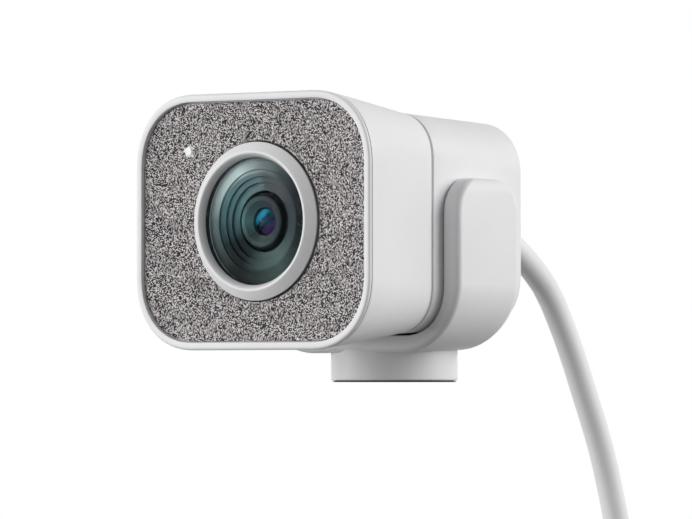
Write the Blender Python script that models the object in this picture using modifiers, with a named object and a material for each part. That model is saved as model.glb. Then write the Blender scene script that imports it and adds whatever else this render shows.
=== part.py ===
"""Streaming webcam on its tripod bracket.

The head turns from landscape to portrait on a square rear housing, and the housing tilts in a U-shaped bracket
whose stub takes a tripod screw. Metres, +X to the right seen from the front, +Y back, +Z up. The origin is the
centre of the bracket's mounting face. Pieces are laid out from the lens: y = 0 is the front plane of the face and
x = z = 0 is the lens axis.
"""
import math

import bmesh
import bpy
from mathutils import Matrix, Vector

# ---- driving dimensions, in metres ------------------------------------------------------------------------
GAP = 0.0003                # clearance between pieces that seat on each other
CORNER_POWER = 2.2          # 2 is a round corner, more is squarer
CORNER_STEPS = 6            # facets in each corner of the shells
TURN_STEPS = 32             # facets round a turned piece

# front shell: a wide rounded face that narrows to a square seam
FACE_WIDTH = 0.0588
FACE_HEIGHT = 0.0500
FACE_CORNER = 0.0145
SEAM_SIZE = 0.0433
SEAM_CORNER = 0.0094
SHELL_LENGTH = 0.0292
SHELL_TAPER_POWER = 1.05
SHELL_WALL = 0.0018
SHELL_LIP = 0.0002          # thickness of the shell's front edge round the bezel
SHELL_LIP_BACK = 0.00025     # how far behind the bezel's face that edge starts
SWIVEL_WALL = 0.0022        # rear wall of the front shell, which turns on the hub

# face
BEZEL_RIM = 0.00105
BEZEL_DEPTH = 0.0013
FABRIC_INSET = 0.00085
FABRIC_DISH = 0.0009
FABRIC_THICKNESS = 0.0006
CARRIER_THICKNESS = 0.0013

# lens window, its ring and the funnel behind it
RING_RADIUS = 0.0154
RING_SEAT = 0.0019          # depth at which the ring's cone meets the fabric
RING_LIP_RADIUS = 0.0124
RING_LIP_WIDTH = 0.0009
RING_PROUD = 0.00026
RING_DEPTH = 0.0041
WINDOW_RECESS = 0.0015
WINDOW_THICKNESS = 0.0010
BAFFLE_STEPS = ((0.0101, 0.0000), (0.0087, 0.00045), (0.0076, 0.00095), (0.0066, 0.00155))
BAFFLE_BORE = 0.0060
BAFFLE_DEPTH = 0.0027

# focusing lens barrel
BARREL_RADIUS = 0.0056
BARREL_FRONT = 0.00315
BARREL_CLEAR = 0.0017       # behind the barrel, in front of the sensor's board
BARREL_BORE = 0.0028
ELEMENT_DEPTH = 0.0010      # the front element's crown behind the barrel's front
ELEMENT_THICKNESS = 0.0016
FOCUS_TRAVEL = 0.0003
COIL_WALL = 0.0008
COIL_LENGTH = 0.0035
MOTOR_SIZE = 0.0185
MOTOR_FRONT = 0.0064
SENSOR_WIDTH = 0.0070
SENSOR_HEIGHT = 0.0055
SENSOR_THICKNESS = 0.0006
SENSOR_ROOM = 0.00117       # behind the sensor's board, in front of the processor
SENSOR_BOARD_ROOM = 0.0005  # from its sides to the frame's posts

# frame, boards and heat sink inside the head
FRAME_FRONT = 0.0044
FRAME_THICKNESS = 0.0017
FRAME_BORE = 0.0107
POST_INSET = 0.0045         # from the main board's sides, and from its top and bottom
POST_INSET_Z = 0.0040
POST_RADIUS = 0.0020
BOARD_THICKNESS = 0.0010
BOARD_MARGIN = 0.0016       # from the shell's seam to the main board's sides
BOARD_MARGIN_Z = 0.0041
CHIP_SIZE = 0.0110
CHIP_THICKNESS = 0.0012
SINK_WIDTH = 0.0240
SINK_HEIGHT = 0.0200
SINK_BASE = 0.0010
SINK_DEPTH = 0.0030
SINK_ROOM = 0.0014          # behind the heat sink, in front of the swivel's screws
SINK_FINS = 6
FIN_THICKNESS = 0.0012
MIC_INSET = 0.0082          # from the face's sides
MIC_RADIUS = 0.0027
MIC_LENGTH = 0.0040
LED_INSET = 0.0125          # from the face's left side, and from its top
LED_INSET_Z = 0.0111
LED_RADIUS = 0.0008
LED_FRONT = 0.00125
SCREW_RADIUS = 0.0009
SCREW_HEAD_RADIUS = 0.0018
SCREW_HEAD = 0.0009
SCREW_LENGTH = 0.0050

# swivel between the head and the rear housing
SEAM_GROOVE = 0.0005
HUB_RADIUS = 0.0136
HUB_BORE = 0.0080
HUB_PLATE = 0.0020
HUB_RECESS = 0.00085        # plate's front face behind the shell's rear face
WASHER_INNER = 0.0145
WASHER_OUTER = 0.0176
WASHER_THICKNESS = 0.0003
RETAINER_RADIUS = 0.0168
RETAINER_THICKNESS = 0.0018
SWIVEL_SCREW_RING = 0.0110
SWIVEL_SCREWS = 3

# rear housing
REAR_LENGTH = 0.0306
REAR_DRAFT = math.radians(2.1)
REAR_CORNER = 0.0107
REAR_WALL = 0.0020
REAR_EDGE = 0.0014
RELIEF_BORE = 0.0041

# U-shaped bracket and its stub
BRACKET_SETBACK = 0.0027     # behind the rear housing's front edge
BRACKET_WIDTH = 0.0213
BRACKET_THICKNESS = 0.0039
BRACKET_GAP = 0.00045
ARM_TOP = 0.0088
ARM_CORNER = 0.0070
FRONT_ROUND = 0.0012
EDGE_REACH = 0.0026         # soft outer edge at the top and the back: how far over the face, and how deep
EDGE_DEPTH = 0.0014
CORNER_EASE = 0.0009        # how much thinner the U is in its lower corners
TILT_ROOM = 0.0019          # hidden relief under the housing, behind the bracket's front lip
BRACKET_LIP = 0.0030
STUB_RADIUS = 0.0126
STUB_TOP_DROP = 0.00275      # stub's top below the housing's underside at the seam
STUB_DROP = 0.00945         # mounting face below the same place
STUB_BACK = 0.0018          # stub's axis behind the tilt axis
PAD_RADIUS = 0.0119
PAD_THICKNESS = 0.0012
PAD_PROUD = 0.0003
INSERT_RADIUS = 0.0050
INSERT_LENGTH = 0.0055
THREAD_RADIUS = 0.003175    # 1/4 inch tripod thread
PIVOT_RADIUS = 0.0025
PIVOT_BUSH = 0.0012
PIVOT_DEPTH = 0.0024        # how far a pin is pressed into its arm
PIVOT_HEAD = 0.0010

# cable, its relief, coil and plug
CABLE_RADIUS = 0.00265
RELIEF_LENGTH = 0.0104
RELIEF_COLLAR = 0.0047
RELIEF_TIP = 0.0034
RELIEF_PLAIN = 0.0022       # plain part before the ribs
CLIP_RADIUS = 0.0064
CLIP_THICKNESS = 0.0012
CABLE_ROUTE = (             # back from the sleeve's tip and up from the lens, down the middle of the webcam
    (0.0073, -0.0010), (0.0149, -0.0045), (0.0239, -0.0113), (0.0291, -0.0181), (0.0332, -0.0248),
    (0.0367, -0.0314), (0.0436, -0.0451), (0.0486, -0.0590), (0.0519, -0.0700), (0.0534, -0.0753),
)
CABLE_POINT_STEP = 0.0055
COIL_BEHIND = 0.0233        # coil's middle behind the sleeve's tip
COIL_DOWN = -0.0970
COIL_RADIUS = 0.0270        # middle of the turns
COIL_LAYERS = 3
COIL_COLUMNS = 3
TIE_WIDTH = 0.0090
TIE_THICKNESS = 0.0012
TIE_ANGLE = math.radians(-6)
PLUG_DROP = 0.0200          # below the coil's middle
PLUG_NECK = 0.0050
PLUG_LENGTH = 0.0200
PLUG_WIDTH = 0.0116
PLUG_THICKNESS = 0.0064
CONNECTOR_WIDTH = 0.00834
CONNECTOR_HEIGHT = 0.00256
CONNECTOR_LENGTH = 0.0066
CONNECTOR_WALL = 0.0003

# ---- sizes that follow ------------------------------------------------------------------------------------
REAR_FRONT = SHELL_LENGTH + SEAM_GROOVE
REAR_BACK = REAR_FRONT + REAR_LENGTH
BRACKET_FRONT = REAR_FRONT + BRACKET_SETBACK
BRACKET_MIDDLE = BRACKET_FRONT + BRACKET_WIDTH / 2
MOUNT_BACK = BRACKET_MIDDLE + STUB_BACK
LENS_HEIGHT = SEAM_SIZE / 2 + STUB_DROP
STUB_TOP = -SEAM_SIZE / 2 - STUB_TOP_DROP
BEZEL_STEP = BEZEL_DEPTH + GAP
CARRIER_FRONT = FABRIC_INSET + FABRIC_DISH + FABRIC_THICKNESS + GAP
CARRIER_BACK = CARRIER_FRONT + CARRIER_THICKNESS
FRAME_BACK = FRAME_FRONT + FRAME_THICKNESS
WINDOW_FRONT = WINDOW_RECESS - RING_PROUD
WINDOW_RADIUS = RING_LIP_RADIUS - GAP
BAFFLE_FRONT = WINDOW_FRONT + WINDOW_THICKNESS + GAP
SWIVEL_WALL_FRONT = SHELL_LENGTH - SWIVEL_WALL
HUB_FRONT = SHELL_LENGTH + HUB_RECESS
RETAINER_BACK = SWIVEL_WALL_FRONT - GAP
RETAINER_FRONT = RETAINER_BACK - RETAINER_THICKNESS
SINK_FRONT = RETAINER_FRONT - GAP - SCREW_HEAD - SINK_ROOM - SINK_DEPTH
MAIN_BOARD_FRONT = SINK_FRONT - GAP - BOARD_THICKNESS
MAIN_BOARD_WIDTH = SEAM_SIZE - 2 * BOARD_MARGIN
MAIN_BOARD_HEIGHT = SEAM_SIZE - 2 * BOARD_MARGIN_Z
POST_X = MAIN_BOARD_WIDTH / 2 - POST_INSET
POST_Z = MAIN_BOARD_HEIGHT / 2 - POST_INSET_Z
SENSOR_BOARD = 2 * (POST_X - POST_RADIUS - SENSOR_BOARD_ROOM)
MOTOR_BACK = MAIN_BOARD_FRONT - CHIP_THICKNESS - SENSOR_ROOM - BOARD_THICKNESS - GAP
BARREL_BACK = MOTOR_BACK - BARREL_CLEAR
MIC_X = FACE_WIDTH / 2 - MIC_INSET
LED_X = LED_INSET - FACE_WIDTH / 2
LED_Z = FACE_HEIGHT / 2 - LED_INSET_Z
STUB_BOTTOM = PAD_PROUD - LENS_HEIGHT
PAD_TOP = PAD_THICKNESS - LENS_HEIGHT
INSERT_TOP = STUB_BOTTOM + INSERT_LENGTH
RELIEF_BACK = REAR_BACK + RELIEF_LENGTH
COIL_BACK = RELIEF_BACK + COIL_BEHIND
COIL_ROW = math.sqrt(3) * CABLE_RADIUS
COIL_HALF_DEPTH = (COIL_LAYERS - 1) / 2 * COIL_ROW + CABLE_RADIUS
COIL_HALF_WIDTH = (COIL_COLUMNS + 0.5) * CABLE_RADIUS
COIL_SIDE = CABLE_RADIUS / 2


# ---- scene, frames and materials --------------------------------------------------------------------------
for old in list(bpy.data.objects):
    bpy.data.objects.remove(old, do_unlink=True)


def collection(name):
    made = bpy.data.collections.new(name)
    bpy.context.scene.collection.children.link(made)
    return made


WEBCAM = collection("webcam")
CUTTERS = collection("cutters")


def empty(name, parent, location):
    """A frame that pieces are parented to; a joint's frame sits on its axis."""
    frame = bpy.data.objects.new(name, None)
    frame.parent = parent
    frame.location = location
    WEBCAM.objects.link(frame)
    return frame


BRACKET_FRAME = empty("bracket_frame", None, (0, -MOUNT_BACK, LENS_HEIGHT))
TILT_FRAME = empty("tilt_axis", BRACKET_FRAME, (0, BRACKET_MIDDLE, 0))
REAR_FRAME = empty("rear_frame", TILT_FRAME, (0, -BRACKET_MIDDLE, 0))
HEAD_FRAME = empty("head_roll_axis", REAR_FRAME, (0, 0, 0))
FOCUS_FRAME = empty("focus_axis", HEAD_FRAME, (0, 0, 0))


def material(name, colour, roughness, metallic=0.0):
    made = bpy.data.materials.new(name)
    made.use_nodes = True
    shader = made.node_tree.nodes["Principled BSDF"]
    shader.inputs["Base Color"].default_value = (*colour, 1)
    shader.inputs["Roughness"].default_value = roughness
    shader.inputs["Metallic"].default_value = metallic
    return made


def part(obj, frame, made_of):
    """Put a piece in the webcam's collection, on its frame and in its material."""
    WEBCAM.objects.link(obj)
    obj.parent = frame
    obj.data.materials.append(made_of)
    if obj.type == "MESH":
        obj.data.shade_smooth()
        obj.data.set_sharp_from_angle(angle=math.radians(35))
    return obj


def boolean(obj, tool, operation, frame):
    """Cut obj with tool, or join tool to it."""
    CUTTERS.objects.link(tool)
    tool.parent = frame
    tool.hide_render = True
    tool.display_type = "WIRE"
    step = obj.modifiers.new(operation.lower(), "BOOLEAN")
    step.operation = operation
    step.solver = "EXACT"
    step.object = tool


# ---- shapes -----------------------------------------------------------------------------------------------
def mesh_object(name, shape):
    bmesh.ops.recalc_face_normals(shape, faces=shape.faces)
    mesh = bpy.data.meshes.new(name)
    shape.to_mesh(mesh)
    shape.free()
    return bpy.data.objects.new(name, mesh)


def corner_point(share):
    """Unit corner, from +x at 0 to +z at 1: its point and its outward normal."""
    across = abs(math.cos(share * math.pi / 2)) ** (2 / CORNER_POWER)
    up = abs(math.sin(share * math.pi / 2)) ** (2 / CORNER_POWER)
    normal = Vector((across ** (CORNER_POWER - 1), up ** (CORNER_POWER - 1)))
    return across, up, normal.normalized()


def squircle(width, height, corner, y):
    """Loop of a rounded rectangle in the plane y, corner by corner."""
    loop = []
    for quarter, (side, top) in enumerate(((1, 1), (-1, 1), (-1, -1), (1, -1))):
        for step in range(CORNER_STEPS + 1):
            share = step / CORNER_STEPS
            across, up, _ = corner_point(share if quarter % 2 == 0 else 1 - share)
            x = side * (width / 2 - corner + corner * across)
            z = top * (height / 2 - corner + corner * up)
            loop.append(Vector((x, y, z)))
    return loop


def circle(radius, y):
    """Loop of a circle with as many points as a squircle."""
    count = 4 * (CORNER_STEPS + 1)
    angles = [(step + 0.5) / count * 2 * math.pi for step in range(count)]
    return [Vector((radius * math.cos(a), y, radius * math.sin(a))) for a in angles]


def loft(name, loops, ring=False):
    """Skin over loops of equal length, capped at both ends, or closed on itself as a ring."""
    shape = bmesh.new()
    rows = [[shape.verts.new(point) for point in loop] for loop in loops]
    pairs = list(zip(rows, rows[1:]))
    if ring:
        pairs.append((rows[-1], rows[0]))
    for one, two in pairs:
        for i in range(len(one)):
            j = (i + 1) % len(one)
            shape.faces.new((one[i], one[j], two[j], two[i]))
    if not ring:
        shape.faces.new(rows[0])
        shape.faces.new(rows[-1])
    return mesh_object(name, shape)


def turned(name, profile, steps=TURN_STEPS, solid=False):
    """Profile of (radius, y) points turned about the lens axis: round a closed ring, or from axis to axis."""
    mesh = bpy.data.meshes.new(name)
    edges = [(i, i + 1) for i in range(len(profile) - 1)]
    if not solid:
        edges.append((len(profile) - 1, 0))
    mesh.from_pydata([(radius, y, 0) for radius, y in profile], edges, [])
    obj = bpy.data.objects.new(name, mesh)
    screw = obj.modifiers.new("turn", "SCREW")
    screw.axis = "Y"
    screw.steps = steps
    screw.render_steps = steps
    screw.use_merge_vertices = True
    screw.merge_threshold = 0.00001
    return obj


def rod(name, radius, front, back, x=0.0, z=0.0, steps=16):
    """Cylinder along y."""
    shape = bmesh.new()
    bmesh.ops.create_cone(
        shape, cap_ends=True, segments=steps, radius1=radius, radius2=radius, depth=back - front
    )
    bmesh.ops.rotate(shape, verts=shape.verts, matrix=TURN_TO_Y)
    bmesh.ops.translate(shape, verts=shape.verts, vec=(x, (front + back) / 2, z))
    return mesh_object(name, shape)


def pin(name, radius, inner, outer, side, steps=24):
    """Cylinder along x on the tilt axis, from inner to outer distance from the middle."""
    shape = bmesh.new()
    bmesh.ops.create_cone(
        shape, cap_ends=True, segments=steps, radius1=radius, radius2=radius, depth=outer - inner
    )
    bmesh.ops.rotate(shape, verts=shape.verts, matrix=TURN_TO_X)
    bmesh.ops.translate(shape, verts=shape.verts, vec=(side * (inner + outer) / 2, BRACKET_MIDDLE, 0))
    return mesh_object(name, shape)


def post(name, radius, bottom, top, steps=40):
    """Upright cylinder over the mounting face."""
    shape = bmesh.new()
    bmesh.ops.create_cone(
        shape, cap_ends=True, segments=steps, radius1=radius, radius2=radius, depth=top - bottom
    )
    bmesh.ops.translate(shape, verts=shape.verts, vec=(0, MOUNT_BACK, (bottom + top) / 2))
    return mesh_object(name, shape)


def block(name, width, height, front, back, x=0.0, z=0.0, edge=0.0):
    """Box from front to back, with bevelled edges along y."""
    shape = bmesh.new()
    bmesh.ops.create_cube(shape, size=1)
    bmesh.ops.scale(shape, verts=shape.verts, vec=(width, back - front, height))
    bmesh.ops.translate(shape, verts=shape.verts, vec=(x, (front + back) / 2, z))
    if edge:
        along = [e for e in shape.edges if abs((e.verts[0].co - e.verts[1].co).normalized().y) > 0.9]
        bmesh.ops.bevel(shape, geom=along, offset=edge, segments=3, profile=0.5, affect="EDGES")
    return mesh_object(name, shape)


TURN_TO_Y = Vector((0, 0, 1)).rotation_difference(Vector((0, 1, 0))).to_matrix()
TURN_TO_X = Vector((0, 0, 1)).rotation_difference(Vector((1, 0, 0))).to_matrix()


# ---- front shell ------------------------------------------------------------------------------------------
def shell_size(y):
    """Width, height and corner radius of the front shell at depth y."""
    taper = (y / SHELL_LENGTH) ** SHELL_TAPER_POWER
    return tuple(
        face + (seam - face) * taper
        for face, seam in (
            (FACE_WIDTH, SEAM_SIZE), (FACE_HEIGHT, SEAM_SIZE), (FACE_CORNER, SEAM_CORNER)
        )
    )


def shell_loop(y, inset=0.0):
    width, height, corner = shell_size(y)
    return squircle(width - 2 * inset, height - 2 * inset, max(corner - inset, GAP), y)


def bezel_opening(y):
    """Mouth of the shell, which the bezel fits."""
    return squircle(*face_size(0), y)


def front_shell():
    """Moulded shell: rounded mouth, taper to the square seam, and a rear wall with the swivel's bore."""
    loops = [shell_loop(SHELL_LIP_BACK, SHELL_LIP / 3), shell_loop(SHELL_LIP_BACK + SHELL_LIP)]
    for share in (0.12, 0.25, 0.4, 0.55, 0.7, 0.85):
        loops.append(shell_loop(share * SHELL_LENGTH))
    loops.append(shell_loop(SHELL_LENGTH - GAP))
    loops.append(shell_loop(SHELL_LENGTH, GAP))
    loops.append(circle(HUB_RADIUS + GAP, SHELL_LENGTH))
    loops.append(circle(HUB_RADIUS + GAP, SWIVEL_WALL_FRONT))
    for share in (1.0, 0.75, 0.5, 0.25):
        y = BEZEL_STEP + share * (SWIVEL_WALL_FRONT - BEZEL_STEP)
        loops.append(shell_loop(y, SHELL_WALL))
    loops.append(shell_loop(BEZEL_STEP, SHELL_WALL))
    loops.append(bezel_opening(BEZEL_STEP))
    loops.append(bezel_opening(SHELL_LIP_BACK))
    part(loft("front_shell", loops, ring=True), HEAD_FRAME, WHITE_PLASTIC)


# ---- face: bezel, fabric and its carrier ------------------------------------------------------------------
def face_size(inset):
    """Width, height and corner inside the shell's mouth."""
    edge = SHELL_LIP + inset
    return FACE_WIDTH - 2 * edge, FACE_HEIGHT - 2 * edge, FACE_CORNER - edge


def front_bezel():
    """Thin light rim, seated on the step inside the shell's mouth."""
    outer = face_size(GAP)
    inner = face_size(GAP + BEZEL_RIM)
    soft = GAP
    loops = [
        squircle(*outer, BEZEL_DEPTH),
        squircle(*outer, soft),
        squircle(outer[0] - 2 * soft, outer[1] - 2 * soft, outer[2] - soft, 0),
        squircle(*inner, 0),
        squircle(*inner, BEZEL_DEPTH),
    ]
    part(loft("front_bezel", loops, ring=True), HEAD_FRAME, WHITE_PLASTIC)


def fabric_depth(share):
    """Dish of the fabric, from the bezel at 0 to the lens ring at 1."""
    return FABRIC_INSET + FABRIC_DISH * math.sin(share * math.pi / 2)


def fabric_loop(share, depth):
    """Loop between the fabric's outline and its round hole."""
    outer = squircle(*face_size(2 * GAP + BEZEL_RIM), 0)
    inner = circle(RING_RADIUS + GAP, 0)
    loop = [one.lerp(two, share) for one, two in zip(outer, inner)]
    for point in loop:
        point.y = fabric_depth(share) + depth
    return loop


def fabric_panel():
    """Cloth over a thin skin, dished towards the lens ring, with a hole for the lamp."""
    shares = (0, 0.2, 0.45, 0.7, 1)
    loops = [fabric_loop(share, 0) for share in shares]
    loops += [fabric_loop(share, FABRIC_THICKNESS) for share in reversed(shares)]
    panel = part(loft("fabric_panel", loops, ring=True), HEAD_FRAME, GREY_FABRIC)
    boolean(panel, rod("lamp_hole", LED_RADIUS + GAP, 0, CARRIER_BACK, LED_X, LED_Z), "DIFFERENCE", HEAD_FRAME)


def fabric_carrier():
    """Rigid plate that the cloth is stretched over, with the lamp's and the microphones' holes."""
    width, height, corner = shell_size(CARRIER_BACK)
    inset = 2 * (SHELL_WALL + GAP)
    loops = [
        squircle(width - inset, height - inset, corner - inset / 2, CARRIER_FRONT),
        squircle(width - inset, height - inset, corner - inset / 2, CARRIER_BACK),
        circle(RING_RADIUS + GAP, CARRIER_BACK),
        circle(RING_RADIUS + GAP, CARRIER_FRONT),
    ]
    carrier = part(loft("fabric_carrier", loops, ring=True), HEAD_FRAME, BLACK_PLASTIC)
    front = CARRIER_FRONT - GAP
    back = CARRIER_BACK + GAP
    boolean(carrier, rod("carrier_lamp", LED_RADIUS + GAP, front, back, LED_X, LED_Z), "DIFFERENCE", HEAD_FRAME)
    for side in (-1, 1):
        hole = rod("sound_hole", MIC_RADIUS / 3, front, back, side * MIC_X)
        boolean(carrier, hole, "DIFFERENCE", HEAD_FRAME)


# ---- lens: ring, window, funnel, barrel -------------------------------------------------------------------
def lens_ring():
    """White cone round the lens with a rounded lip."""
    lip = RING_LIP_WIDTH
    tip = -RING_PROUD
    profile = [
        (RING_RADIUS, RING_DEPTH),
        (RING_RADIUS, RING_SEAT),
        (RING_LIP_RADIUS + lip + GAP / 2, tip + lip / 2),
        (RING_LIP_RADIUS + 0.85 * lip, tip + lip / 7),
        (RING_LIP_RADIUS + lip / 2, tip),
        (RING_LIP_RADIUS + lip / 7, tip + lip / 7),
        (RING_LIP_RADIUS, tip + lip / 2),
        (RING_LIP_RADIUS, RING_DEPTH),
    ]
    part(turned("lens_ring", profile, 48), HEAD_FRAME, WHITE_PLASTIC)


def lens_window():
    """Flat cover glass with polished edges."""
    back = WINDOW_FRONT + WINDOW_THICKNESS
    chamfer = WINDOW_THICKNESS / 6
    profile = [
        (0, back),
        (WINDOW_RADIUS - chamfer, back),
        (WINDOW_RADIUS, back - chamfer),
        (WINDOW_RADIUS, WINDOW_FRONT + chamfer),
        (WINDOW_RADIUS - chamfer, WINDOW_FRONT),
        (0, WINDOW_FRONT),
    ]
    part(turned("lens_window", profile, 48, solid=True), HEAD_FRAME, GLASS)


def lens_baffle():
    """Black funnel of flat steps that hides the barrel's sides from stray light."""
    rim = WINDOW_RADIUS
    back = BAFFLE_FRONT + BAFFLE_DEPTH
    flange = FRAME_FRONT - GAP
    profile = [
        (FRAME_BORE - GAP, back),
        (FRAME_BORE - GAP, flange),
        (rim, flange),
        (rim, BAFFLE_FRONT),
    ]
    radius = BAFFLE_STEPS[0][0]
    for radius_next, depth in BAFFLE_STEPS:
        profile.append((radius, BAFFLE_FRONT + depth))
        profile.append((radius_next, BAFFLE_FRONT + depth))
        radius = radius_next
    profile = profile[:4] + profile[5:]
    profile.append((BAFFLE_BORE, BAFFLE_FRONT + BAFFLE_STEPS[-1][1]))
    profile.append((BAFFLE_BORE, back))
    part(turned("lens_baffle", profile), HEAD_FRAME, BLACK_PLASTIC)


def lens_barrel():
    """Threaded lens barrel, which the focus motor slides along the axis."""
    front = BARREL_FRONT
    profile = [
        (BARREL_RADIUS, BARREL_BACK),
        (BARREL_RADIUS, front + 0.0016),
        (BARREL_RADIUS - 0.0004, front + 0.0014),
        (BARREL_RADIUS - 0.0005, front + 0.0005),
        (BARREL_RADIUS - 0.0009, front),
        (BARREL_BORE + 0.0012, front),
        (BARREL_BORE + 0.0001, front + ELEMENT_DEPTH),
        (BARREL_BORE, front + ELEMENT_DEPTH),
        (BARREL_BORE, BARREL_BACK),
    ]
    part(turned("lens_barrel", profile), FOCUS_FRAME, BLACK_PLASTIC)


def front_element():
    """Domed front lens, seated in the barrel."""
    radius = BARREL_BORE - GAP
    crown = BARREL_FRONT + ELEMENT_DEPTH
    rise = ELEMENT_THICKNESS / 3
    profile = [(0, crown + ELEMENT_THICKNESS), (radius, crown + ELEMENT_THICKNESS), (radius, crown + rise)]
    profile += [(radius * share, crown + rise * share ** 2) for share in (0.75, 0.5, 0.25)]
    profile.append((0, crown))
    part(turned("front_element", profile, 24, solid=True), FOCUS_FRAME, GLASS)


def focus_coil():
    """Voice coil wound on a bobbin round the barrel."""
    inner = BARREL_RADIUS + GAP
    middle = (MOTOR_FRONT + MOTOR_BACK) / 2
    front = middle - COIL_LENGTH / 2
    back = middle + COIL_LENGTH / 2
    profile = [(inner + COIL_WALL, back), (inner + COIL_WALL, front), (inner, front), (inner, back)]
    part(turned("focus_coil", profile), FOCUS_FRAME, COPPER)


def focus_motor():
    """Square steel can with the magnets, round the moving coil."""
    bore = BARREL_RADIUS + COIL_WALL + 2 * GAP
    loops = [
        squircle(MOTOR_SIZE, MOTOR_SIZE, MOTOR_SIZE / 10, MOTOR_FRONT),
        squircle(MOTOR_SIZE, MOTOR_SIZE, MOTOR_SIZE / 10, MOTOR_BACK),
        circle(bore, MOTOR_BACK),
        circle(bore, MOTOR_FRONT),
    ]
    part(loft("focus_motor", loops, ring=True), HEAD_FRAME, STEEL)


def image_sensor():
    back = MOTOR_BACK
    part(
        block("image_sensor", SENSOR_WIDTH, SENSOR_HEIGHT, back - SENSOR_THICKNESS, back),
        HEAD_FRAME,
        SENSOR_GLASS,
    )


def sensor_board():
    """Small board on the back of the motor, with its connector behind."""
    front = MOTOR_BACK + GAP
    back = front + BOARD_THICKNESS
    corner = SENSOR_BOARD / 13
    board = loft(
        "sensor_board",
        [squircle(SENSOR_BOARD, SENSOR_BOARD, corner, front), squircle(SENSOR_BOARD, SENSOR_BOARD, corner, back)],
    )
    part(board, HEAD_FRAME, GREEN_BOARD)
    plug = block("sensor_plug", SENSOR_WIDTH, SENSOR_HEIGHT / 3, back - GAP, back + BOARD_THICKNESS, 0, -SENSOR_BOARD / 3)
    boolean(board, plug, "UNION", HEAD_FRAME)


# ---- inside the head --------------------------------------------------------------------------------------
def corners():
    return [(x, z) for x in (-POST_X, POST_X) for z in (-POST_Z, POST_Z)]


def front_frame():
    """Plate across the shell that carries the ring and the funnel, with four screw posts behind."""
    width, height, corner = shell_size(FRAME_BACK)
    inset = 2 * (SHELL_WALL + GAP)
    loops = [
        squircle(width - inset, height - inset, corner - inset / 2, FRAME_FRONT),
        squircle(width - inset, height - inset, corner - inset / 2, FRAME_BACK),
        circle(FRAME_BORE, FRAME_BACK),
        circle(FRAME_BORE, FRAME_FRONT),
    ]
    frame = part(loft("front_frame", loops, ring=True), HEAD_FRAME, BLACK_PLASTIC)
    top = MAIN_BOARD_FRONT - GAP
    for x, z in corners():
        boolean(frame, rod("post", POST_RADIUS, FRAME_BACK - GAP, top, x, z), "UNION", HEAD_FRAME)
    for x, z in corners():
        pilot = rod("pilot", SCREW_RADIUS + GAP, top - SCREW_LENGTH, top + GAP, x, z, 10)
        boolean(frame, pilot, "DIFFERENCE", HEAD_FRAME)
    front = FRAME_FRONT - GAP
    back = FRAME_BACK + GAP
    boolean(frame, rod("frame_lamp", LED_RADIUS + GAP, front, back, LED_X, LED_Z), "DIFFERENCE", HEAD_FRAME)
    for side in (-1, 1):
        seat = rod("mic_seat", MIC_RADIUS + GAP, front, back, side * MIC_X)
        boolean(frame, seat, "DIFFERENCE", HEAD_FRAME)


def microphones():
    """A microphone capsule in a rubber boot behind each side of the cloth."""
    for name, side in (("left_microphone", -1), ("right_microphone", 1)):
        front = CARRIER_BACK + GAP
        boot = rod(name, MIC_RADIUS, front, front + MIC_LENGTH, side * MIC_X)
        part(boot, HEAD_FRAME, RUBBER)
        hole = rod("mic_port", MIC_RADIUS / 3, front - GAP, front + MIC_LENGTH / 2, side * MIC_X, 0, 16)
        boolean(boot, hole, "DIFFERENCE", HEAD_FRAME)


def led_guide():
    """Light guide that brings the lamp to the cloth."""
    part(rod("led_guide", LED_RADIUS, LED_FRONT, FRAME_BACK, LED_X, LED_Z, 16), HEAD_FRAME, LIGHT_GUIDE)


def main_board():
    """Circuit board on the frame's posts, with its processor and memory in front."""
    front = MAIN_BOARD_FRONT
    back = front + BOARD_THICKNESS
    corner = POST_RADIUS
    size = (MAIN_BOARD_WIDTH, MAIN_BOARD_HEIGHT, corner)
    board = part(loft("main_board", [squircle(*size, front), squircle(*size, back)]), HEAD_FRAME, GREEN_BOARD)
    chip_front = front - CHIP_THICKNESS
    chips = (
        ("processor", CHIP_SIZE, CHIP_SIZE, 0.0, 0.0),
        ("memory", CHIP_SIZE / 2, CHIP_SIZE * 0.8, -CHIP_SIZE, 0.0),
        ("regulator", CHIP_SIZE / 3, CHIP_SIZE / 3, CHIP_SIZE, CHIP_SIZE / 3),
    )
    for name, width, height, x, z in chips:
        chip = block(name, width, height, chip_front, front + BOARD_THICKNESS / 2, x, z)
        boolean(board, chip, "UNION", HEAD_FRAME)
    for x, z in corners():
        hole = rod("screw_hole", SCREW_RADIUS + GAP, front - GAP, back + GAP, x, z, 10)
        boolean(board, hole, "DIFFERENCE", HEAD_FRAME)


def heat_sink():
    """Aluminium plate with upright fins on the back of the main board."""
    front = SINK_FRONT
    back = front + SINK_BASE
    sink = part(block("heat_sink", SINK_WIDTH, SINK_HEIGHT, front, back), HEAD_FRAME, ALUMINIUM)
    pitch = (SINK_WIDTH - FIN_THICKNESS) / (SINK_FINS - 1)
    for fin in range(SINK_FINS):
        x = -(SINK_WIDTH - FIN_THICKNESS) / 2 + fin * pitch
        blade = block("fin", FIN_THICKNESS * 0.98, SINK_HEIGHT * 0.98, back - SINK_BASE / 2, front + SINK_DEPTH, x)
        boolean(sink, blade, "UNION", HEAD_FRAME)


def screw(name, head_front, head_back, tip, x, z, frame):
    """Pan-head screw along y, its head on one side and its plain shank on the other."""
    towards = 1 if tip > head_back else -1
    head_outer = head_front if towards > 0 else head_back
    head_inner = head_back if towards > 0 else head_front
    profile = [
        (0, head_outer),
        (SCREW_HEAD_RADIUS * 0.8, head_outer),
        (SCREW_HEAD_RADIUS, head_outer + towards * SCREW_HEAD / 3),
        (SCREW_HEAD_RADIUS, head_inner),
        (SCREW_RADIUS, head_inner),
        (SCREW_RADIUS, tip),
        (0, tip),
    ]
    if towards > 0:
        profile.reverse()
    obj = part(turned(name, profile, 12, solid=True), frame, STEEL)
    obj.location = (x, 0, z)


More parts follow.
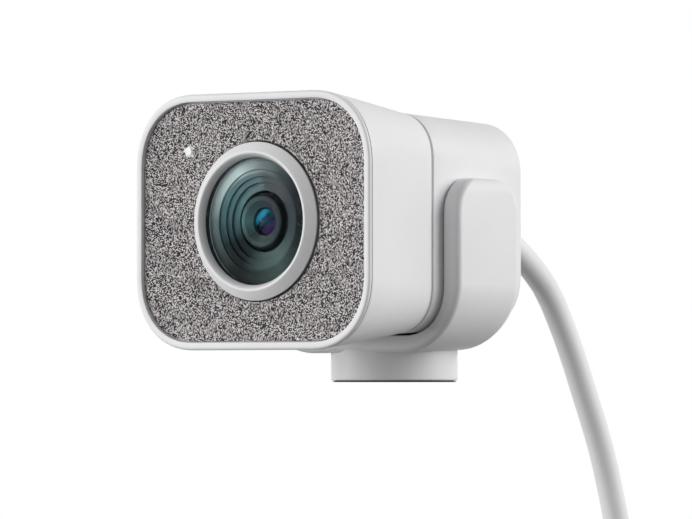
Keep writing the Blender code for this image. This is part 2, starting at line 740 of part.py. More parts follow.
def board_screws():
    """Four screws through the main board into the frame's posts."""
    head_front = MAIN_BOARD_FRONT + BOARD_THICKNESS + GAP
    tip = MAIN_BOARD_FRONT - SCREW_LENGTH + GAP
    for number, (x, z) in enumerate(corners(), 1):
        screw(f"board_screw_{number}", head_front, head_front + SCREW_HEAD, tip, x, z, HEAD_FRAME)


# ---- swivel -----------------------------------------------------------------------------------------------
def swivel_points():
    angles = [math.radians(90) + 2 * math.pi * i / SWIVEL_SCREWS for i in range(SWIVEL_SCREWS)]
    return [(SWIVEL_SCREW_RING * math.cos(a), SWIVEL_SCREW_RING * math.sin(a)) for a in angles]


def swivel_hub():
    """Plate in the mouth of the rear housing, whose neck carries the head's rear wall."""
    plate = rear_size(HUB_FRONT) - 2 * (REAR_WALL + GAP)
    corner = SEAM_CORNER - REAR_WALL
    loops = [
        circle(HUB_RADIUS, SWIVEL_WALL_FRONT),
        circle(HUB_RADIUS, HUB_FRONT),
        squircle(plate, plate, corner, HUB_FRONT),
        squircle(plate, plate, corner, HUB_FRONT + HUB_PLATE),
        circle(HUB_BORE, HUB_FRONT + HUB_PLATE),
        circle(HUB_BORE, SWIVEL_WALL_FRONT),
    ]
    hub = part(loft("swivel_hub", loops, ring=True), REAR_FRAME, STEEL)
    for x, z in swivel_points():
        hole = rod("hub_hole", SCREW_RADIUS + GAP, SWIVEL_WALL_FRONT - GAP, HUB_FRONT + HUB_PLATE / 2, x, z, 10)
        boolean(hub, hole, "DIFFERENCE", REAR_FRAME)


def swivel_washer():
    """Slippery washer between the head's rear wall and the hub's plate."""
    middle = SHELL_LENGTH + HUB_RECESS / 2
    front = middle - WASHER_THICKNESS / 2
    back = middle + WASHER_THICKNESS / 2
    profile = [(WASHER_OUTER, back), (WASHER_OUTER, front), (WASHER_INNER, front), (WASHER_INNER, back)]
    part(turned("swivel_washer", profile), REAR_FRAME, BLACK_PLASTIC)


def swivel_retainer():
    """Ring screwed to the hub's neck, which keeps the head's rear wall on it."""
    profile = [
        (RETAINER_RADIUS, RETAINER_BACK),
        (RETAINER_RADIUS, RETAINER_FRONT),
        (HUB_BORE, RETAINER_FRONT),
        (HUB_BORE, RETAINER_BACK),
    ]
    ring = part(turned("swivel_retainer", profile), REAR_FRAME, STEEL)
    for x, z in swivel_points():
        hole = rod("ring_hole", SCREW_RADIUS + GAP, RETAINER_FRONT - GAP, RETAINER_BACK + GAP, x, z, 10)
        boolean(ring, hole, "DIFFERENCE", REAR_FRAME)
    head_back = RETAINER_FRONT - GAP
    tip = HUB_FRONT + HUB_PLATE / 2 - GAP
    for number, (x, z) in enumerate(swivel_points(), 1):
        screw(f"swivel_screw_{number}", head_back - SCREW_HEAD, head_back, tip, x, z, REAR_FRAME)


# ---- rear housing -----------------------------------------------------------------------------------------
def rear_size(y):
    """Width and height of the square rear housing, which drafts towards the back."""
    return SEAM_SIZE - 2 * (y - REAR_FRONT) * math.tan(REAR_DRAFT)


def rear_corner(y):
    """Corner radius of the rear housing, which grows towards the back."""
    return SEAM_CORNER + (REAR_CORNER - SEAM_CORNER) * (y - REAR_FRONT) / REAR_LENGTH


def rear_loop(y, inset=0.0):
    size = rear_size(y) - 2 * inset
    return squircle(size, size, max(rear_corner(y) - inset, GAP), y)


def rear_housing():
    """Square cup with softened edges, a socket for each pivot and a round hole for the cable's relief."""
    loops = [rear_loop(REAR_FRONT, GAP), rear_loop(REAR_FRONT + GAP)]
    loops.append(rear_loop(REAR_FRONT + REAR_LENGTH / 2))
    for step in range(5):
        angle = step / 4 * math.pi / 2
        y = REAR_BACK - REAR_EDGE + REAR_EDGE * math.sin(angle)
        loops.append(rear_loop(y, REAR_EDGE * (1 - math.cos(angle))))
    loops.append(circle(RELIEF_BORE, REAR_BACK))
    loops.append(circle(RELIEF_BORE, REAR_BACK - REAR_WALL))
    loops.append(rear_loop(REAR_BACK - REAR_WALL, REAR_WALL))
    loops.append(rear_loop(REAR_FRONT, REAR_WALL))
    housing = part(loft("rear_housing", loops, ring=True), REAR_FRAME, WHITE_PLASTIC)
    wall = rear_size(BRACKET_MIDDLE) / 2
    for side in (-1, 1):
        radius = PIVOT_RADIUS + PIVOT_BUSH + 2 * GAP
        socket = pin("socket", radius, wall - 1.5 * REAR_WALL, wall + GAP, side, 32)
        boolean(housing, socket, "DIFFERENCE", REAR_FRAME)


def tilt_bushes():
    """Friction bush in each side of the rear housing, round a pivot pin."""
    wall = rear_size(BRACKET_MIDDLE) / 2
    for name, side in (("left_tilt_bush", -1), ("right_tilt_bush", 1)):
        outer = PIVOT_RADIUS + PIVOT_BUSH + GAP
        bush = part(pin(name, outer, wall - REAR_WALL, wall - GAP / 2, side, 32), REAR_FRAME, BLACK_PLASTIC)
        bore = pin("bush_bore", PIVOT_RADIUS + GAP, wall - REAR_WALL - GAP, wall + GAP, side)
        boolean(bush, bore, "DIFFERENCE", REAR_FRAME)


# ---- bracket ----------------------------------------------------------------------------------------------
def cradle_path():
    """Inside of the U at its front: points, outward normals and how far each lies below an arm's top."""
    half = rear_size(BRACKET_FRONT) / 2
    corner = rear_corner(BRACKET_FRONT)
    straight = half - corner
    path = []
    for share in (0, 0.04, 0.12, 0.25, 0.45, 0.7, 1):
        drop = share * ARM_CORNER
        path.append((half + BRACKET_GAP, ARM_TOP - drop, Vector((1, 0)), drop))
    for step in range(CORNER_STEPS + 1):
        across, down, normal = corner_point(step / CORNER_STEPS)
        x = straight + corner * across + BRACKET_GAP * normal.x
        z = -(straight + corner * down + BRACKET_GAP * normal.y)
        path.append((x, z, Vector((normal.x, -normal.y)), ARM_CORNER))
    other = [(-x, z, Vector((-normal.x, normal.y)), drop) for x, z, normal, drop in reversed(path)]
    return path + other


def cradle_section(x, z, normal, drop):
    """Loop across the U: flat inside, softly rounded edges outside, narrower near an arm's top."""
    narrow = ARM_CORNER - math.sqrt(ARM_CORNER ** 2 - (ARM_CORNER - drop) ** 2)
    above = 1 - min(drop, EDGE_REACH) / EDGE_REACH
    thin = EDGE_DEPTH * (1 - math.sqrt(1 - above ** 2))
    thick = BRACKET_THICKNESS - thin - 2 * CORNER_EASE * abs(normal.x * normal.y)
    front = BRACKET_FRONT + narrow
    back = BRACKET_FRONT + BRACKET_WIDTH - narrow
    outline = [(0, front + GAP), (GAP, front)]
    for step in range(4):
        angle = step / 3 * math.pi / 2
        reach = thick - FRONT_ROUND + FRONT_ROUND * math.sin(angle)
        outline.append((reach, front + FRONT_ROUND * (1 - math.cos(angle))))
    for step in range(4):
        angle = step / 3 * math.pi / 2
        reach = thick - EDGE_DEPTH + EDGE_DEPTH * math.cos(angle)
        outline.append((reach, back - EDGE_REACH * (1 - math.sin(angle))))
    outline += [(GAP, back), (0, back - GAP)]
    lean = math.tan(REAR_DRAFT) * (abs(normal.x) + abs(normal.y))
    loop = []
    for reach, y in outline:
        out = reach - lean * (y - BRACKET_FRONT)
        loop.append(Vector((x + normal.x * out, y, z + normal.y * out)))
    return loop


def tripod_bracket():
    """U that hugs the rear housing, in one piece with the stub that stands on a tripod."""
    bracket = loft("tripod_bracket", [cradle_section(*place) for place in cradle_path()])
    part(bracket, BRACKET_FRAME, WHITE_PLASTIC)
    boolean(bracket, post("stub", STUB_RADIUS, STUB_BOTTOM, STUB_TOP, 48), "UNION", BRACKET_FRAME)
    room = loft("tilt_relief", [relief_loop(BRACKET_FRONT + BRACKET_LIP), relief_loop(REAR_BACK)])
    boolean(bracket, room, "DIFFERENCE", BRACKET_FRAME)
    seat = post("pad_seat", PAD_RADIUS + GAP, STUB_BOTTOM - GAP, PAD_TOP + GAP)
    boolean(bracket, seat, "DIFFERENCE", BRACKET_FRAME)
    bore = post("insert_bore", INSERT_RADIUS + GAP, STUB_BOTTOM - 2 * GAP, INSERT_TOP + GAP, 32)
    boolean(bracket, bore, "DIFFERENCE", BRACKET_FRAME)
    inside = rear_size(BRACKET_MIDDLE) / 2 + BRACKET_GAP
    for side in (-1, 1):
        hole = pin("pin_bore", PIVOT_RADIUS + GAP / 2, inside - GAP, inside + PIVOT_DEPTH + GAP, side)
        boolean(bracket, hole, "DIFFERENCE", BRACKET_FRAME)


def relief_loop(y):
    """The housing's outline inside the bracket's clearance, let down by the tilt's room."""
    loop = rear_loop(y, GAP / 3 - BRACKET_GAP)
    for point in loop:
        point.z -= TILT_ROOM
    return loop


def pivot_pins():
    """Headed pin pressed into each arm, on which the rear housing tilts."""
    wall = rear_size(BRACKET_MIDDLE) / 2
    for name, side in (("left_pivot_pin", -1), ("right_pivot_pin", 1)):
        head_outer = wall - REAR_WALL - GAP
        shank = pin(name, PIVOT_RADIUS, head_outer - PIVOT_HEAD / 2, wall + BRACKET_GAP + PIVOT_DEPTH, side)
        part(shank, BRACKET_FRAME, STEEL)
        head = pin("pin_head", PIVOT_RADIUS + PIVOT_BUSH, head_outer - PIVOT_HEAD, head_outer, side)
        boolean(shank, head, "UNION", BRACKET_FRAME)


def tube_upright(name, outer, inner, bottom, top, steps):
    """Upright ring over the mounting face."""
    obj = post(name, outer, bottom, top, steps)
    boolean(obj, post(name + "_hole", inner, bottom - GAP, top + GAP, steps), "DIFFERENCE", BRACKET_FRAME)
    return obj


def foot():
    """Brass tripod thread in the stub, and the thin rubber pad round it."""
    insert = tube_upright("thread_insert", INSERT_RADIUS, THREAD_RADIUS, STUB_BOTTOM, INSERT_TOP, 32)
    part(insert, BRACKET_FRAME, BRASS)
    pad = tube_upright("foot_pad", PAD_RADIUS, INSERT_RADIUS + GAP, -LENS_HEIGHT, PAD_TOP, 40)
    part(pad, BRACKET_FRAME, RUBBER)


# ---- cable ------------------------------------------------------------------------------------------------
def strain_relief():
    """Tapered rubber sleeve through the housing's back, ribbed so that it bends evenly."""
    inner = CABLE_RADIUS + GAP
    neck = RELIEF_BORE - GAP
    profile = [(RELIEF_TIP, RELIEF_BACK)]
    ribs = 4
    start = REAR_BACK + RELIEF_PLAIN
    pitch = (RELIEF_BACK - start) / ribs
    for rib in reversed(range(ribs)):
        share = rib / ribs
        radius = RELIEF_TIP + (RELIEF_COLLAR - RELIEF_TIP) * (1 - share)
        y = start + rib * pitch
        profile.append((radius, y + 0.55 * pitch))
        profile.append((radius, y + 0.1 * pitch))
        if rib:
            profile.append((radius - 2 * GAP, y))
            profile.append((radius - 2 * GAP, y - 0.25 * pitch))
    profile += [
        (RELIEF_COLLAR, REAR_BACK + GAP),
        (neck, REAR_BACK + GAP),
        (neck, REAR_BACK - REAR_WALL - CLIP_THICKNESS - 3 * GAP),
        (inner, REAR_BACK - REAR_WALL - CLIP_THICKNESS - 3 * GAP),
        (inner, RELIEF_BACK),
    ]
    part(turned("strain_relief", profile, 20), REAR_FRAME, CABLE_RUBBER)


def cable_clip():
    """Clip round the sleeve's inner end, against the back wall."""
    back = REAR_BACK - REAR_WALL - GAP
    front = back - CLIP_THICKNESS
    profile = [(CLIP_RADIUS, back), (CLIP_RADIUS, front), (RELIEF_BORE, front), (RELIEF_BORE, back)]
    part(turned("cable_clip", profile, 20), REAR_FRAME, STEEL)


def smooth_route(points, step):
    """Points a step apart on a smooth curve through the route's own points."""
    fine = []
    padded = [2 * points[0] - points[1], *points, 2 * points[-1] - points[-2]]
    for a, b, c, d in zip(padded, padded[1:], padded[2:], padded[3:]):
        pieces = max(1, round((c - b).length / step))
        for i in range(pieces):
            t = i / pieces
            fine.append(
                0.5 * (2 * b + (c - a) * t + (2 * a - 5 * b + 4 * c - d) * t ** 2 + (3 * b - a - 3 * c + d) * t ** 3)
            )
    fine.append(points[-1])
    return fine


def cable():
    """Round cable from the sleeve down to its coil."""
    route = [Vector((0, RELIEF_BACK + GAP, 0))] + [Vector((0, RELIEF_BACK + back, up)) for back, up in CABLE_ROUTE]
    points = smooth_route(route, CABLE_POINT_STEP)
    curve = bpy.data.curves.new("cable", "CURVE")
    curve.dimensions = "3D"
    curve.bevel_depth = CABLE_RADIUS
    curve.bevel_resolution = 3
    curve.use_fill_caps = True
    spline = curve.splines.new("POLY")
    spline.points.add(len(points) - 1)
    for target, point in zip(spline.points, points):
        target.co = (*point, 1)
    part(bpy.data.objects.new("cable", curve), REAR_FRAME, CABLE_RUBBER)


def cable_coil():
    """Outer shape of the wound turns: a ring of rounded section, upright behind the webcam."""
    deep = COIL_HALF_DEPTH
    wide = COIL_HALF_WIDTH
    soft = CABLE_RADIUS
    profile = [
        (COIL_RADIUS + deep - soft, wide),
        (COIL_RADIUS + deep - 0.3 * soft, wide - 0.3 * soft),
        (COIL_RADIUS + deep, wide - soft),
        (COIL_RADIUS + deep, soft - wide),
        (COIL_RADIUS + deep - 0.3 * soft, 0.3 * soft - wide),
        (COIL_RADIUS + deep - soft, -wide),
        (COIL_RADIUS - deep + soft, -wide),
        (COIL_RADIUS - deep + 0.3 * soft, 0.3 * soft - wide),
        (COIL_RADIUS - deep, soft - wide),
        (COIL_RADIUS - deep, wide - soft),
        (COIL_RADIUS - deep + 0.3 * soft, wide - 0.3 * soft),
        (COIL_RADIUS - deep + soft, wide),
    ]
    coil = part(turned("cable_coil", profile, 32), REAR_FRAME, CABLE_RUBBER)
    coil.location = (COIL_SIDE, COIL_BACK, COIL_DOWN)
    coil.rotation_euler = (0, 0, -math.pi / 2)


def cable_tie():
    """Hook-and-loop strap round the coil, where both ends of the cable leave it."""
    half_depth = COIL_HALF_DEPTH + 2 * GAP
    half_width = COIL_HALF_WIDTH + GAP
    wall = TIE_THICKNESS
    corner = CABLE_RADIUS / 2

    def band(depth, width, edge, along):
        loop = squircle(2 * depth, 2 * width, edge, along)
        return [Vector((COIL_RADIUS + p.x, p.y, p.z)) for p in loop]

    loops = [
        band(half_depth + wall, half_width + wall, corner + wall, -TIE_WIDTH / 2),
        band(half_depth + wall, half_width + wall, corner + wall, TIE_WIDTH / 2),
        band(half_depth, half_width, corner, TIE_WIDTH / 2),
        band(half_depth, half_width, corner, -TIE_WIDTH / 2),
    ]
    tie = part(loft("cable_tie", loops, ring=True), REAR_FRAME, RUBBER)
    tie.location = (COIL_SIDE, COIL_BACK, COIL_DOWN)
    across = math.cos(TIE_ANGLE)
    up = math.sin(TIE_ANGLE)
    tie.rotation_euler = Matrix(((0, 0, 1), (across, -up, 0), (up, across, 0))).to_euler()


def plug():
    """USB-C plug on the cable's tail, below the coil."""
    x = 2 * CABLE_RADIUS
    y = COIL_BACK + COIL_RADIUS + COIL_HALF_DEPTH - CABLE_RADIUS
    top = COIL_DOWN - PLUG_DROP
    neck = PLUG_THICKNESS * 0.92

    def level(width, thickness, corner, z):
        loop = squircle(width, thickness, corner, 0)
        return [Vector((x + p.x, y + p.z, z)) for p in loop]

    shoulder = top - PLUG_NECK
    end = shoulder - PLUG_LENGTH
    soft = PLUG_THICKNESS / 6
    loops = [
        level(neck, neck * 0.9, neck * 0.4, top),
        level(neck * 1.05, neck * 0.95, neck * 0.4, shoulder),
        level(PLUG_WIDTH, PLUG_THICKNESS, PLUG_THICKNESS * 0.4, shoulder - soft),
        level(PLUG_WIDTH, PLUG_THICKNESS, PLUG_THICKNESS * 0.4, end + soft / 2),
        level(PLUG_WIDTH - soft, PLUG_THICKNESS - soft, PLUG_THICKNESS * 0.35, end),
    ]
    part(loft("plug_grip", loops), REAR_FRAME, CABLE_RUBBER)
    outer = (CONNECTOR_WIDTH, CONNECTOR_HEIGHT, CONNECTOR_HEIGHT * 0.49)
    wall = CONNECTOR_WALL
    inner = (CONNECTOR_WIDTH - 2 * wall, CONNECTOR_HEIGHT - 2 * wall, (CONNECTOR_HEIGHT - 2 * wall) * 0.49)
    mouth = end - GAP - CONNECTOR_LENGTH
    loops = [
        level(*outer, end - GAP),
        level(*outer, mouth),
        level(*inner, mouth),
        level(*inner, end - GAP - wall),
    ]
    part(loft("plug_connector", loops), REAR_FRAME, STEEL)


# ---- build ------------------------------------------------------------------------------------------------
WHITE_PLASTIC = material("white_plastic", (0.80, 0.80, 0.79), 0.45)
GREY_FABRIC = material("grey_fabric", (0.22, 0.22, 0.22), 0.95)
BLACK_PLASTIC = material("black_plastic", (0.012, 0.012, 0.013), 0.5)
GLASS = material("lens_glass", (0.02, 0.03, 0.03), 0.05)
STEEL = material("steel", (0.55, 0.55, 0.56), 0.35, 1.0)
COPPER = material("copper", (0.72, 0.38, 0.22), 0.4, 1.0)
ALUMINIUM = material("aluminium", (0.75, 0.76, 0.77), 0.4, 1.0)
BRASS = material("brass", (0.70, 0.55, 0.28), 0.35, 1.0)
GREEN_BOARD = material("circuit_board", (0.02, 0.10, 0.05), 0.5)
SENSOR_GLASS = material("sensor_glass", (0.05, 0.04, 0.06), 0.15)
LIGHT_GUIDE = material("light_guide", (0.9, 0.9, 0.88), 0.3)
RUBBER = material("black_rubber", (0.03, 0.03, 0.03), 0.8)
CABLE_RUBBER = material("cable_rubber", (0.62, 0.62, 0.61), 0.6)

front_shell()
front_bezel()
fabric_panel()
fabric_carrier()
lens_ring()
lens_window()
lens_baffle()
lens_barrel()
front_element()
focus_coil()
focus_motor()
image_sensor()
sensor_board()
front_frame()
microphones()
led_guide()
main_board()
heat_sink()
board_screws()
swivel_hub()
swivel_washer()
swivel_retainer()
rear_housing()
tilt_bushes()
tripod_bracket()
pivot_pins()
foot()
strain_relief()
cable_clip()
cable()
cable_coil()
cable_tie()
plug()
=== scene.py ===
"""Streaming webcam on its tripod bracket: a fabric-faced head rolls on a square rear housing, which tilts in
a U-shaped bracket over a tripod thread. Pieces are modelled from the lens: y = 0 is the front plane of the
face, and x = z = 0 is the lens axis. Each is then moved to its place over the mounting face. Sizes are in
metres.
"""
import math

import bmesh
import bpy
from mathutils import Matrix, Vector


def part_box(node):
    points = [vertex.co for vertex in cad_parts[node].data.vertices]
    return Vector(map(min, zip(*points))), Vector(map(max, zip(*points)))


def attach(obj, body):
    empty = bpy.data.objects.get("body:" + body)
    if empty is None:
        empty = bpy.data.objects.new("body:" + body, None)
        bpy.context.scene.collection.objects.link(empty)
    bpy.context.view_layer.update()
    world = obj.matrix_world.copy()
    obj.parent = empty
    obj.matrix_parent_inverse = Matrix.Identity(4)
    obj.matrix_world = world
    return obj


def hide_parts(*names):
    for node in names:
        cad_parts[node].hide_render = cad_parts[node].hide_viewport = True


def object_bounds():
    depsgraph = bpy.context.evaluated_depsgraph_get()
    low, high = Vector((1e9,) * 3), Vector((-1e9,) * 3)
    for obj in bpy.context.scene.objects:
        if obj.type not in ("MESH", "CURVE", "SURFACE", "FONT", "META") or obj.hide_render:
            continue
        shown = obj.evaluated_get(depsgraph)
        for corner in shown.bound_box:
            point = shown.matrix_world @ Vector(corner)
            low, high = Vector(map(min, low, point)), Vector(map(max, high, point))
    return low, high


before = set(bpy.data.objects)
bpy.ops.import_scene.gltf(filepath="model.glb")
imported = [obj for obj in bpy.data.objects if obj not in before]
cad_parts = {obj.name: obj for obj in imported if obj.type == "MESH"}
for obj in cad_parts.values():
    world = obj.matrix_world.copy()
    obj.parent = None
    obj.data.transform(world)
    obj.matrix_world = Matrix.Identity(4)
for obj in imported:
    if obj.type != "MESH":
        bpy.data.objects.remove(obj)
cad_low, cad_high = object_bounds()

# ---- camera, light and floor ------------------------------------------------------------------------------
# The webcam is seen from its right front, level with the lens, in a bright white room. Soft panels light it
# from its left front and from behind its right shoulder, and a small one sparkles in the lens. The floor
# under it fades away.
ring_low, ring_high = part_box("lens_ring")
LENS = Vector((0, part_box("front_bezel")[0].y, (ring_low.z + ring_high.z) / 2))

CAMERA_YAW = math.radians(38.645)
CAMERA_RISE = math.radians(-1.197)
CAMERA_DISTANCE = 1.2
CAMERA_RIGHT = 0.018385     # how far its line of sight passes the lens, to the right and upwards
CAMERA_UP = -0.007435
CAMERA_LENS = 322.8
CAMERA_SENSOR = 36
CAMERA_CLIP = 0.01
PANEL_DISTANCE = 1.2
PANELS = (                  # name, width, height, power, bearing from the front to the right, and rise
    ("left_front_panel", 1.1, 0.9, 11.5, -32, 12),
    ("catch_light", 0.09, 0.18, 1.6, -57, 5),
    ("right_back_panel", 0.9, 0.9, 12.6, 122, 20),
)
ROOM_LIGHT = 0.20           # what the room gives the pieces; it looks white itself
FLOOR_DROP = 0.003
FLOOR_RADIUS = 3.0
FLOOR_CLEAR = 0.25
FLOOR_END = 0.7             # how far from the webcam the floor has faded into the room
FLOOR_BOUNCE = 0.15         # how pale the floor is for the light that it throws back

back = Vector((
    math.sin(CAMERA_YAW) * math.cos(CAMERA_RISE),
    -math.cos(CAMERA_YAW) * math.cos(CAMERA_RISE),
    math.sin(CAMERA_RISE),
))
right = Vector((math.cos(CAMERA_YAW), math.sin(CAMERA_YAW), 0))
up = back.cross(right)
bpy.ops.object.camera_add()
camera = bpy.context.object
camera.name = "camera"
camera.location = LENS + CAMERA_RIGHT * right + CAMERA_UP * up + CAMERA_DISTANCE * back
camera.rotation_euler = Matrix((right, up, back)).transposed().to_euler()
camera.data.lens = CAMERA_LENS
camera.data.sensor_width = CAMERA_SENSOR
camera.data.clip_start = CAMERA_CLIP
bpy.context.scene.camera = camera
bpy.context.scene.view_settings.view_transform = "Standard"

for name, width, height, power, bearing, rise in PANELS:
    bearing, rise = math.radians(bearing), math.radians(rise)
    level = PANEL_DISTANCE * math.cos(rise)
    place = Vector((level * math.sin(bearing), -level * math.cos(bearing), PANEL_DISTANCE * math.sin(rise)))
    bpy.ops.object.light_add(type="AREA", location=place)
    panel = bpy.context.object
    panel.name = name
    panel.data.shape = "RECTANGLE"
    panel.data.size = width
    panel.data.size_y = height
    panel.data.energy = power
    panel.rotation_euler = (-place).to_track_quat("-Z", "Y").to_euler()


def fill(tree, node, inputs):
    """Set a node's inputs to plain values, or link them to other nodes' sockets."""
    for socket, value in inputs.items():
        if isinstance(value, bpy.types.NodeSocket):
            tree.links.new(value, node.inputs[socket])
        else:
            node.inputs[socket].default_value = value


def add_node(tree, kind, inputs=None, **settings):
    """A shader node with its settings and inputs."""
    made = tree.nodes.new("ShaderNode" + kind)
    for name, value in settings.items():
        setattr(made, name, value)
    fill(tree, made, inputs or {})
    return made


def math_node(tree, operation, one, two=0.0, three=0.0):
    return add_node(tree, "Math", {0: one, 1: two, 2: three}, operation=operation).outputs[0]


def vector_node(tree, operation, one, two):
    """A vector with another, or scaled by a number."""
    second = "Scale" if operation == "SCALE" else 1
    return add_node(tree, "VectorMath", {0: one, second: two}, operation=operation).outputs[0]


def object_spot(tree):
    """Place of a point in its piece."""
    return add_node(tree, "TexCoord").outputs["Object"]


def distance(tree, way):
    """Length of a way."""
    return add_node(tree, "VectorMath", {0: way}, operation="LENGTH").outputs["Value"]


def mix_shaders(tree, share, one, two):
    """Two shader nodes mixed by a share."""
    return add_node(tree, "MixShader", {0: share, 1: one.outputs[0], 2: two.outputs[0]}).outputs[0]


def mix_colours(tree, share, one, two):
    """Two colours mixed by a share."""
    return add_node(tree, "Mix", {0: share, 6: one, 7: two}, data_type="RGBA").outputs[2]


def colour_ramp(tree, share, stops):
    """Colour that follows a share through stops of (position, colour)."""
    ramp = add_node(tree, "ValToRGB", {"Fac": share})
    steps = ramp.color_ramp.elements
    for step, (position, colour) in zip((steps[0], steps[1]), (stops[0], stops[-1])):
        step.position = position
        step.color = (*colour, 1)
    for position, colour in stops[1:-1]:
        steps.new(position).color = (*colour, 1)
    return ramp.outputs["Color"]


def new_finish(name):
    """New material, its node tree and its shader."""
    made = bpy.data.materials.new(name)
    made.use_nodes = True
    return made, made.node_tree, made.node_tree.nodes["Principled BSDF"]


world = bpy.data.worlds.new("white_room")
bpy.context.scene.world = world
world.use_nodes = True
room = world.node_tree
room.nodes.clear()
rays = add_node(room, "LightPath").outputs
shown = math_node(room, "MAXIMUM", rays["Is Camera Ray"], rays["Is Glossy Ray"])
shown = math_node(room, "MAXIMUM", shown, rays["Is Transmission Ray"])
soft_room = add_node(room, "Background", {"Color": (1, 1, 1, 1), "Strength": ROOM_LIGHT})
white_room = add_node(room, "Background", {"Color": (1, 1, 1, 1), "Strength": 1.0})
add_node(room, "OutputWorld", {"Surface": mix_shaders(room, shown, soft_room, white_room)})

under_webcam = (0, 0, cad_low.z - FLOOR_DROP)
bpy.ops.mesh.primitive_circle_add(vertices=96, radius=FLOOR_RADIUS, fill_type="NGON", location=under_webcam)
floor = bpy.context.object
floor.name = "floor"
floor_paint, tree, shader = new_finish("floor_paint")
mottle = add_node(tree, "TexNoise", {"Scale": 6.0, "Detail": 3.0}).outputs["Fac"]
floor_tint = colour_ramp(tree, mottle, ((0.0, (0.84, 0.84, 0.84)), (1.0, (0.88, 0.88, 0.88))))
bounced = add_node(tree, "LightPath").outputs["Is Diffuse Ray"]
floor_seen = mix_colours(tree, bounced, floor_tint, (FLOOR_BOUNCE, FLOOR_BOUNCE, FLOOR_BOUNCE, 1))
fill(tree, shader, {"Base Color": floor_seen, "Roughness": 0.9})
fade = {"Value": distance(tree, object_spot(tree)), "From Min": FLOOR_CLEAR, "From Max": FLOOR_END}
fade = add_node(tree, "MapRange", fade, interpolation_type="SMOOTHSTEP").outputs["Result"]
hidden = math_node(tree, "MAXIMUM", fade, add_node(tree, "NewGeometry").outputs["Backfacing"])
faded = mix_shaders(tree, hidden, shader, add_node(tree, "BsdfTransparent"))
fill(tree, tree.nodes["Material Output"], {"Surface": faded})
floor.data.materials.append(floor_paint)

# ---- bracket and stub -------------------------------------------------------------------------------------
# Moulded U of white plastic that hugs the rear housing, thick, with softly rounded outer edges, in one piece
# with the round stub that stands on a tripod. Its finish is the fine spark-eroded grain of the whole camera.
GAP = 0.0003                # clearance between pieces, and the usual eased edge
SEAM_SIZE = 0.0433
SEAM_CORNER = 0.0094
REAR_FRONT = 0.0297
REAR_BACK = 0.0603
REAR_CORNER = 0.0107
REAR_DRAFT = math.radians(2.1)
BRACKET_FRONT = 0.0324
BRACKET_WIDTH = 0.0213
BRACKET_BACK = BRACKET_FRONT + BRACKET_WIDTH
BRACKET_MIDDLE = BRACKET_FRONT + BRACKET_WIDTH / 2
BRACKET_THICKNESS = 0.0039
BRACKET_GAP = 0.00045
BRACKET_LIP = 0.0030
ARM_TOP = 0.0088
ARM_CORNER = 0.0070
FRONT_ROUND = 0.0012
EDGE_REACH = 0.0026
EDGE_DEPTH = 0.0014
CORNER_EASE = 0.0005
CORNER_POWER = 2.2
FLOOR_EASE = 0.0005         # the floor of the U is thinner than its arms
TILT_ROOM = 0.0019
MOUNT_BACK = 0.04485
STUB_RADIUS = 0.0126
STUB_TOP = -0.0244
STUB_BOTTOM = -0.0308
STUB_EDGE = 0.00035
PAD_RADIUS = 0.0119
PAD_TOP = -0.0299
INSERT_RADIUS = 0.0050
INSERT_TOP = -0.0253
PIN_RADIUS = 0.0025
PIN_DEPTH = 0.0024
DOUBLES = 0.000002          # points closer than this are one


def rear_size(y):
    """Width and height of the square rear housing, which drafts towards the back."""
    return SEAM_SIZE - 2 * (y - REAR_FRONT) * math.tan(REAR_DRAFT)


def rear_corner(y):
    """Corner radius of the rear housing, which grows towards the back."""
    return SEAM_CORNER + (REAR_CORNER - SEAM_CORNER) * (y - REAR_FRONT) / (REAR_BACK - REAR_FRONT)


def quarter(steps):
    """Quarter round of radius one, from a front plane to a side wall: each point's inset and depth."""
    turns = [step / steps * math.pi / 2 for step in range(steps + 1)]
    return [(1 - math.sin(turn), 1 - math.cos(turn)) for turn in turns]


def start_piece(name):
    """New empty mesh at the lens, in edit mode."""
    bpy.ops.object.select_all(action="DESELECT")
    bpy.ops.object.add(type="MESH")
    piece = bpy.context.object
    piece.name = name
    piece.data.name = name
    bpy.ops.object.mode_set(mode="EDIT")
    bpy.ops.mesh.select_mode(type="EDGE")
    return piece


def close_piece(piece):
    """Merge doubles, face the mesh outwards and leave edit mode."""
    bpy.ops.mesh.select_all(action="SELECT")
    bpy.ops.mesh.remove_doubles(threshold=DOUBLES)
    bpy.ops.mesh.normals_make_consistent(inside=False)
    bpy.ops.object.mode_set(mode="OBJECT")
    return piece


def take(piece):
    """Select a piece alone."""
    bpy.ops.object.select_all(action="DESELECT")
    bpy.context.view_layer.objects.active = piece
    piece.select_set(True)


def settle(piece, finish, crease, turn=(0, 0, 0), place=(0, 0, 0)):
    """Move a piece's mesh from the lens to its place, smooth it up to a crease angle, and finish it."""
    take(piece)
    piece.rotation_euler = turn
    piece.location = LENS + Vector(place)
    bpy.ops.object.transform_apply(location=True, rotation=True, scale=True)
    bpy.ops.object.shade_smooth_by_angle(angle=math.radians(crease))
    piece.data.materials.append(finish)


def carve(piece, tool, operation="DIFFERENCE"):
    """Cut a piece with a tool, or join the tool to it, and take the tool away."""
    take(piece)
    step = piece.modifiers.new("carve", "BOOLEAN")
    step.operation = operation
    step.solver = "EXACT"
    step.object = tool
    bpy.ops.object.modifier_apply(modifier=step.name)
    bpy.data.objects.remove(tool, do_unlink=True)


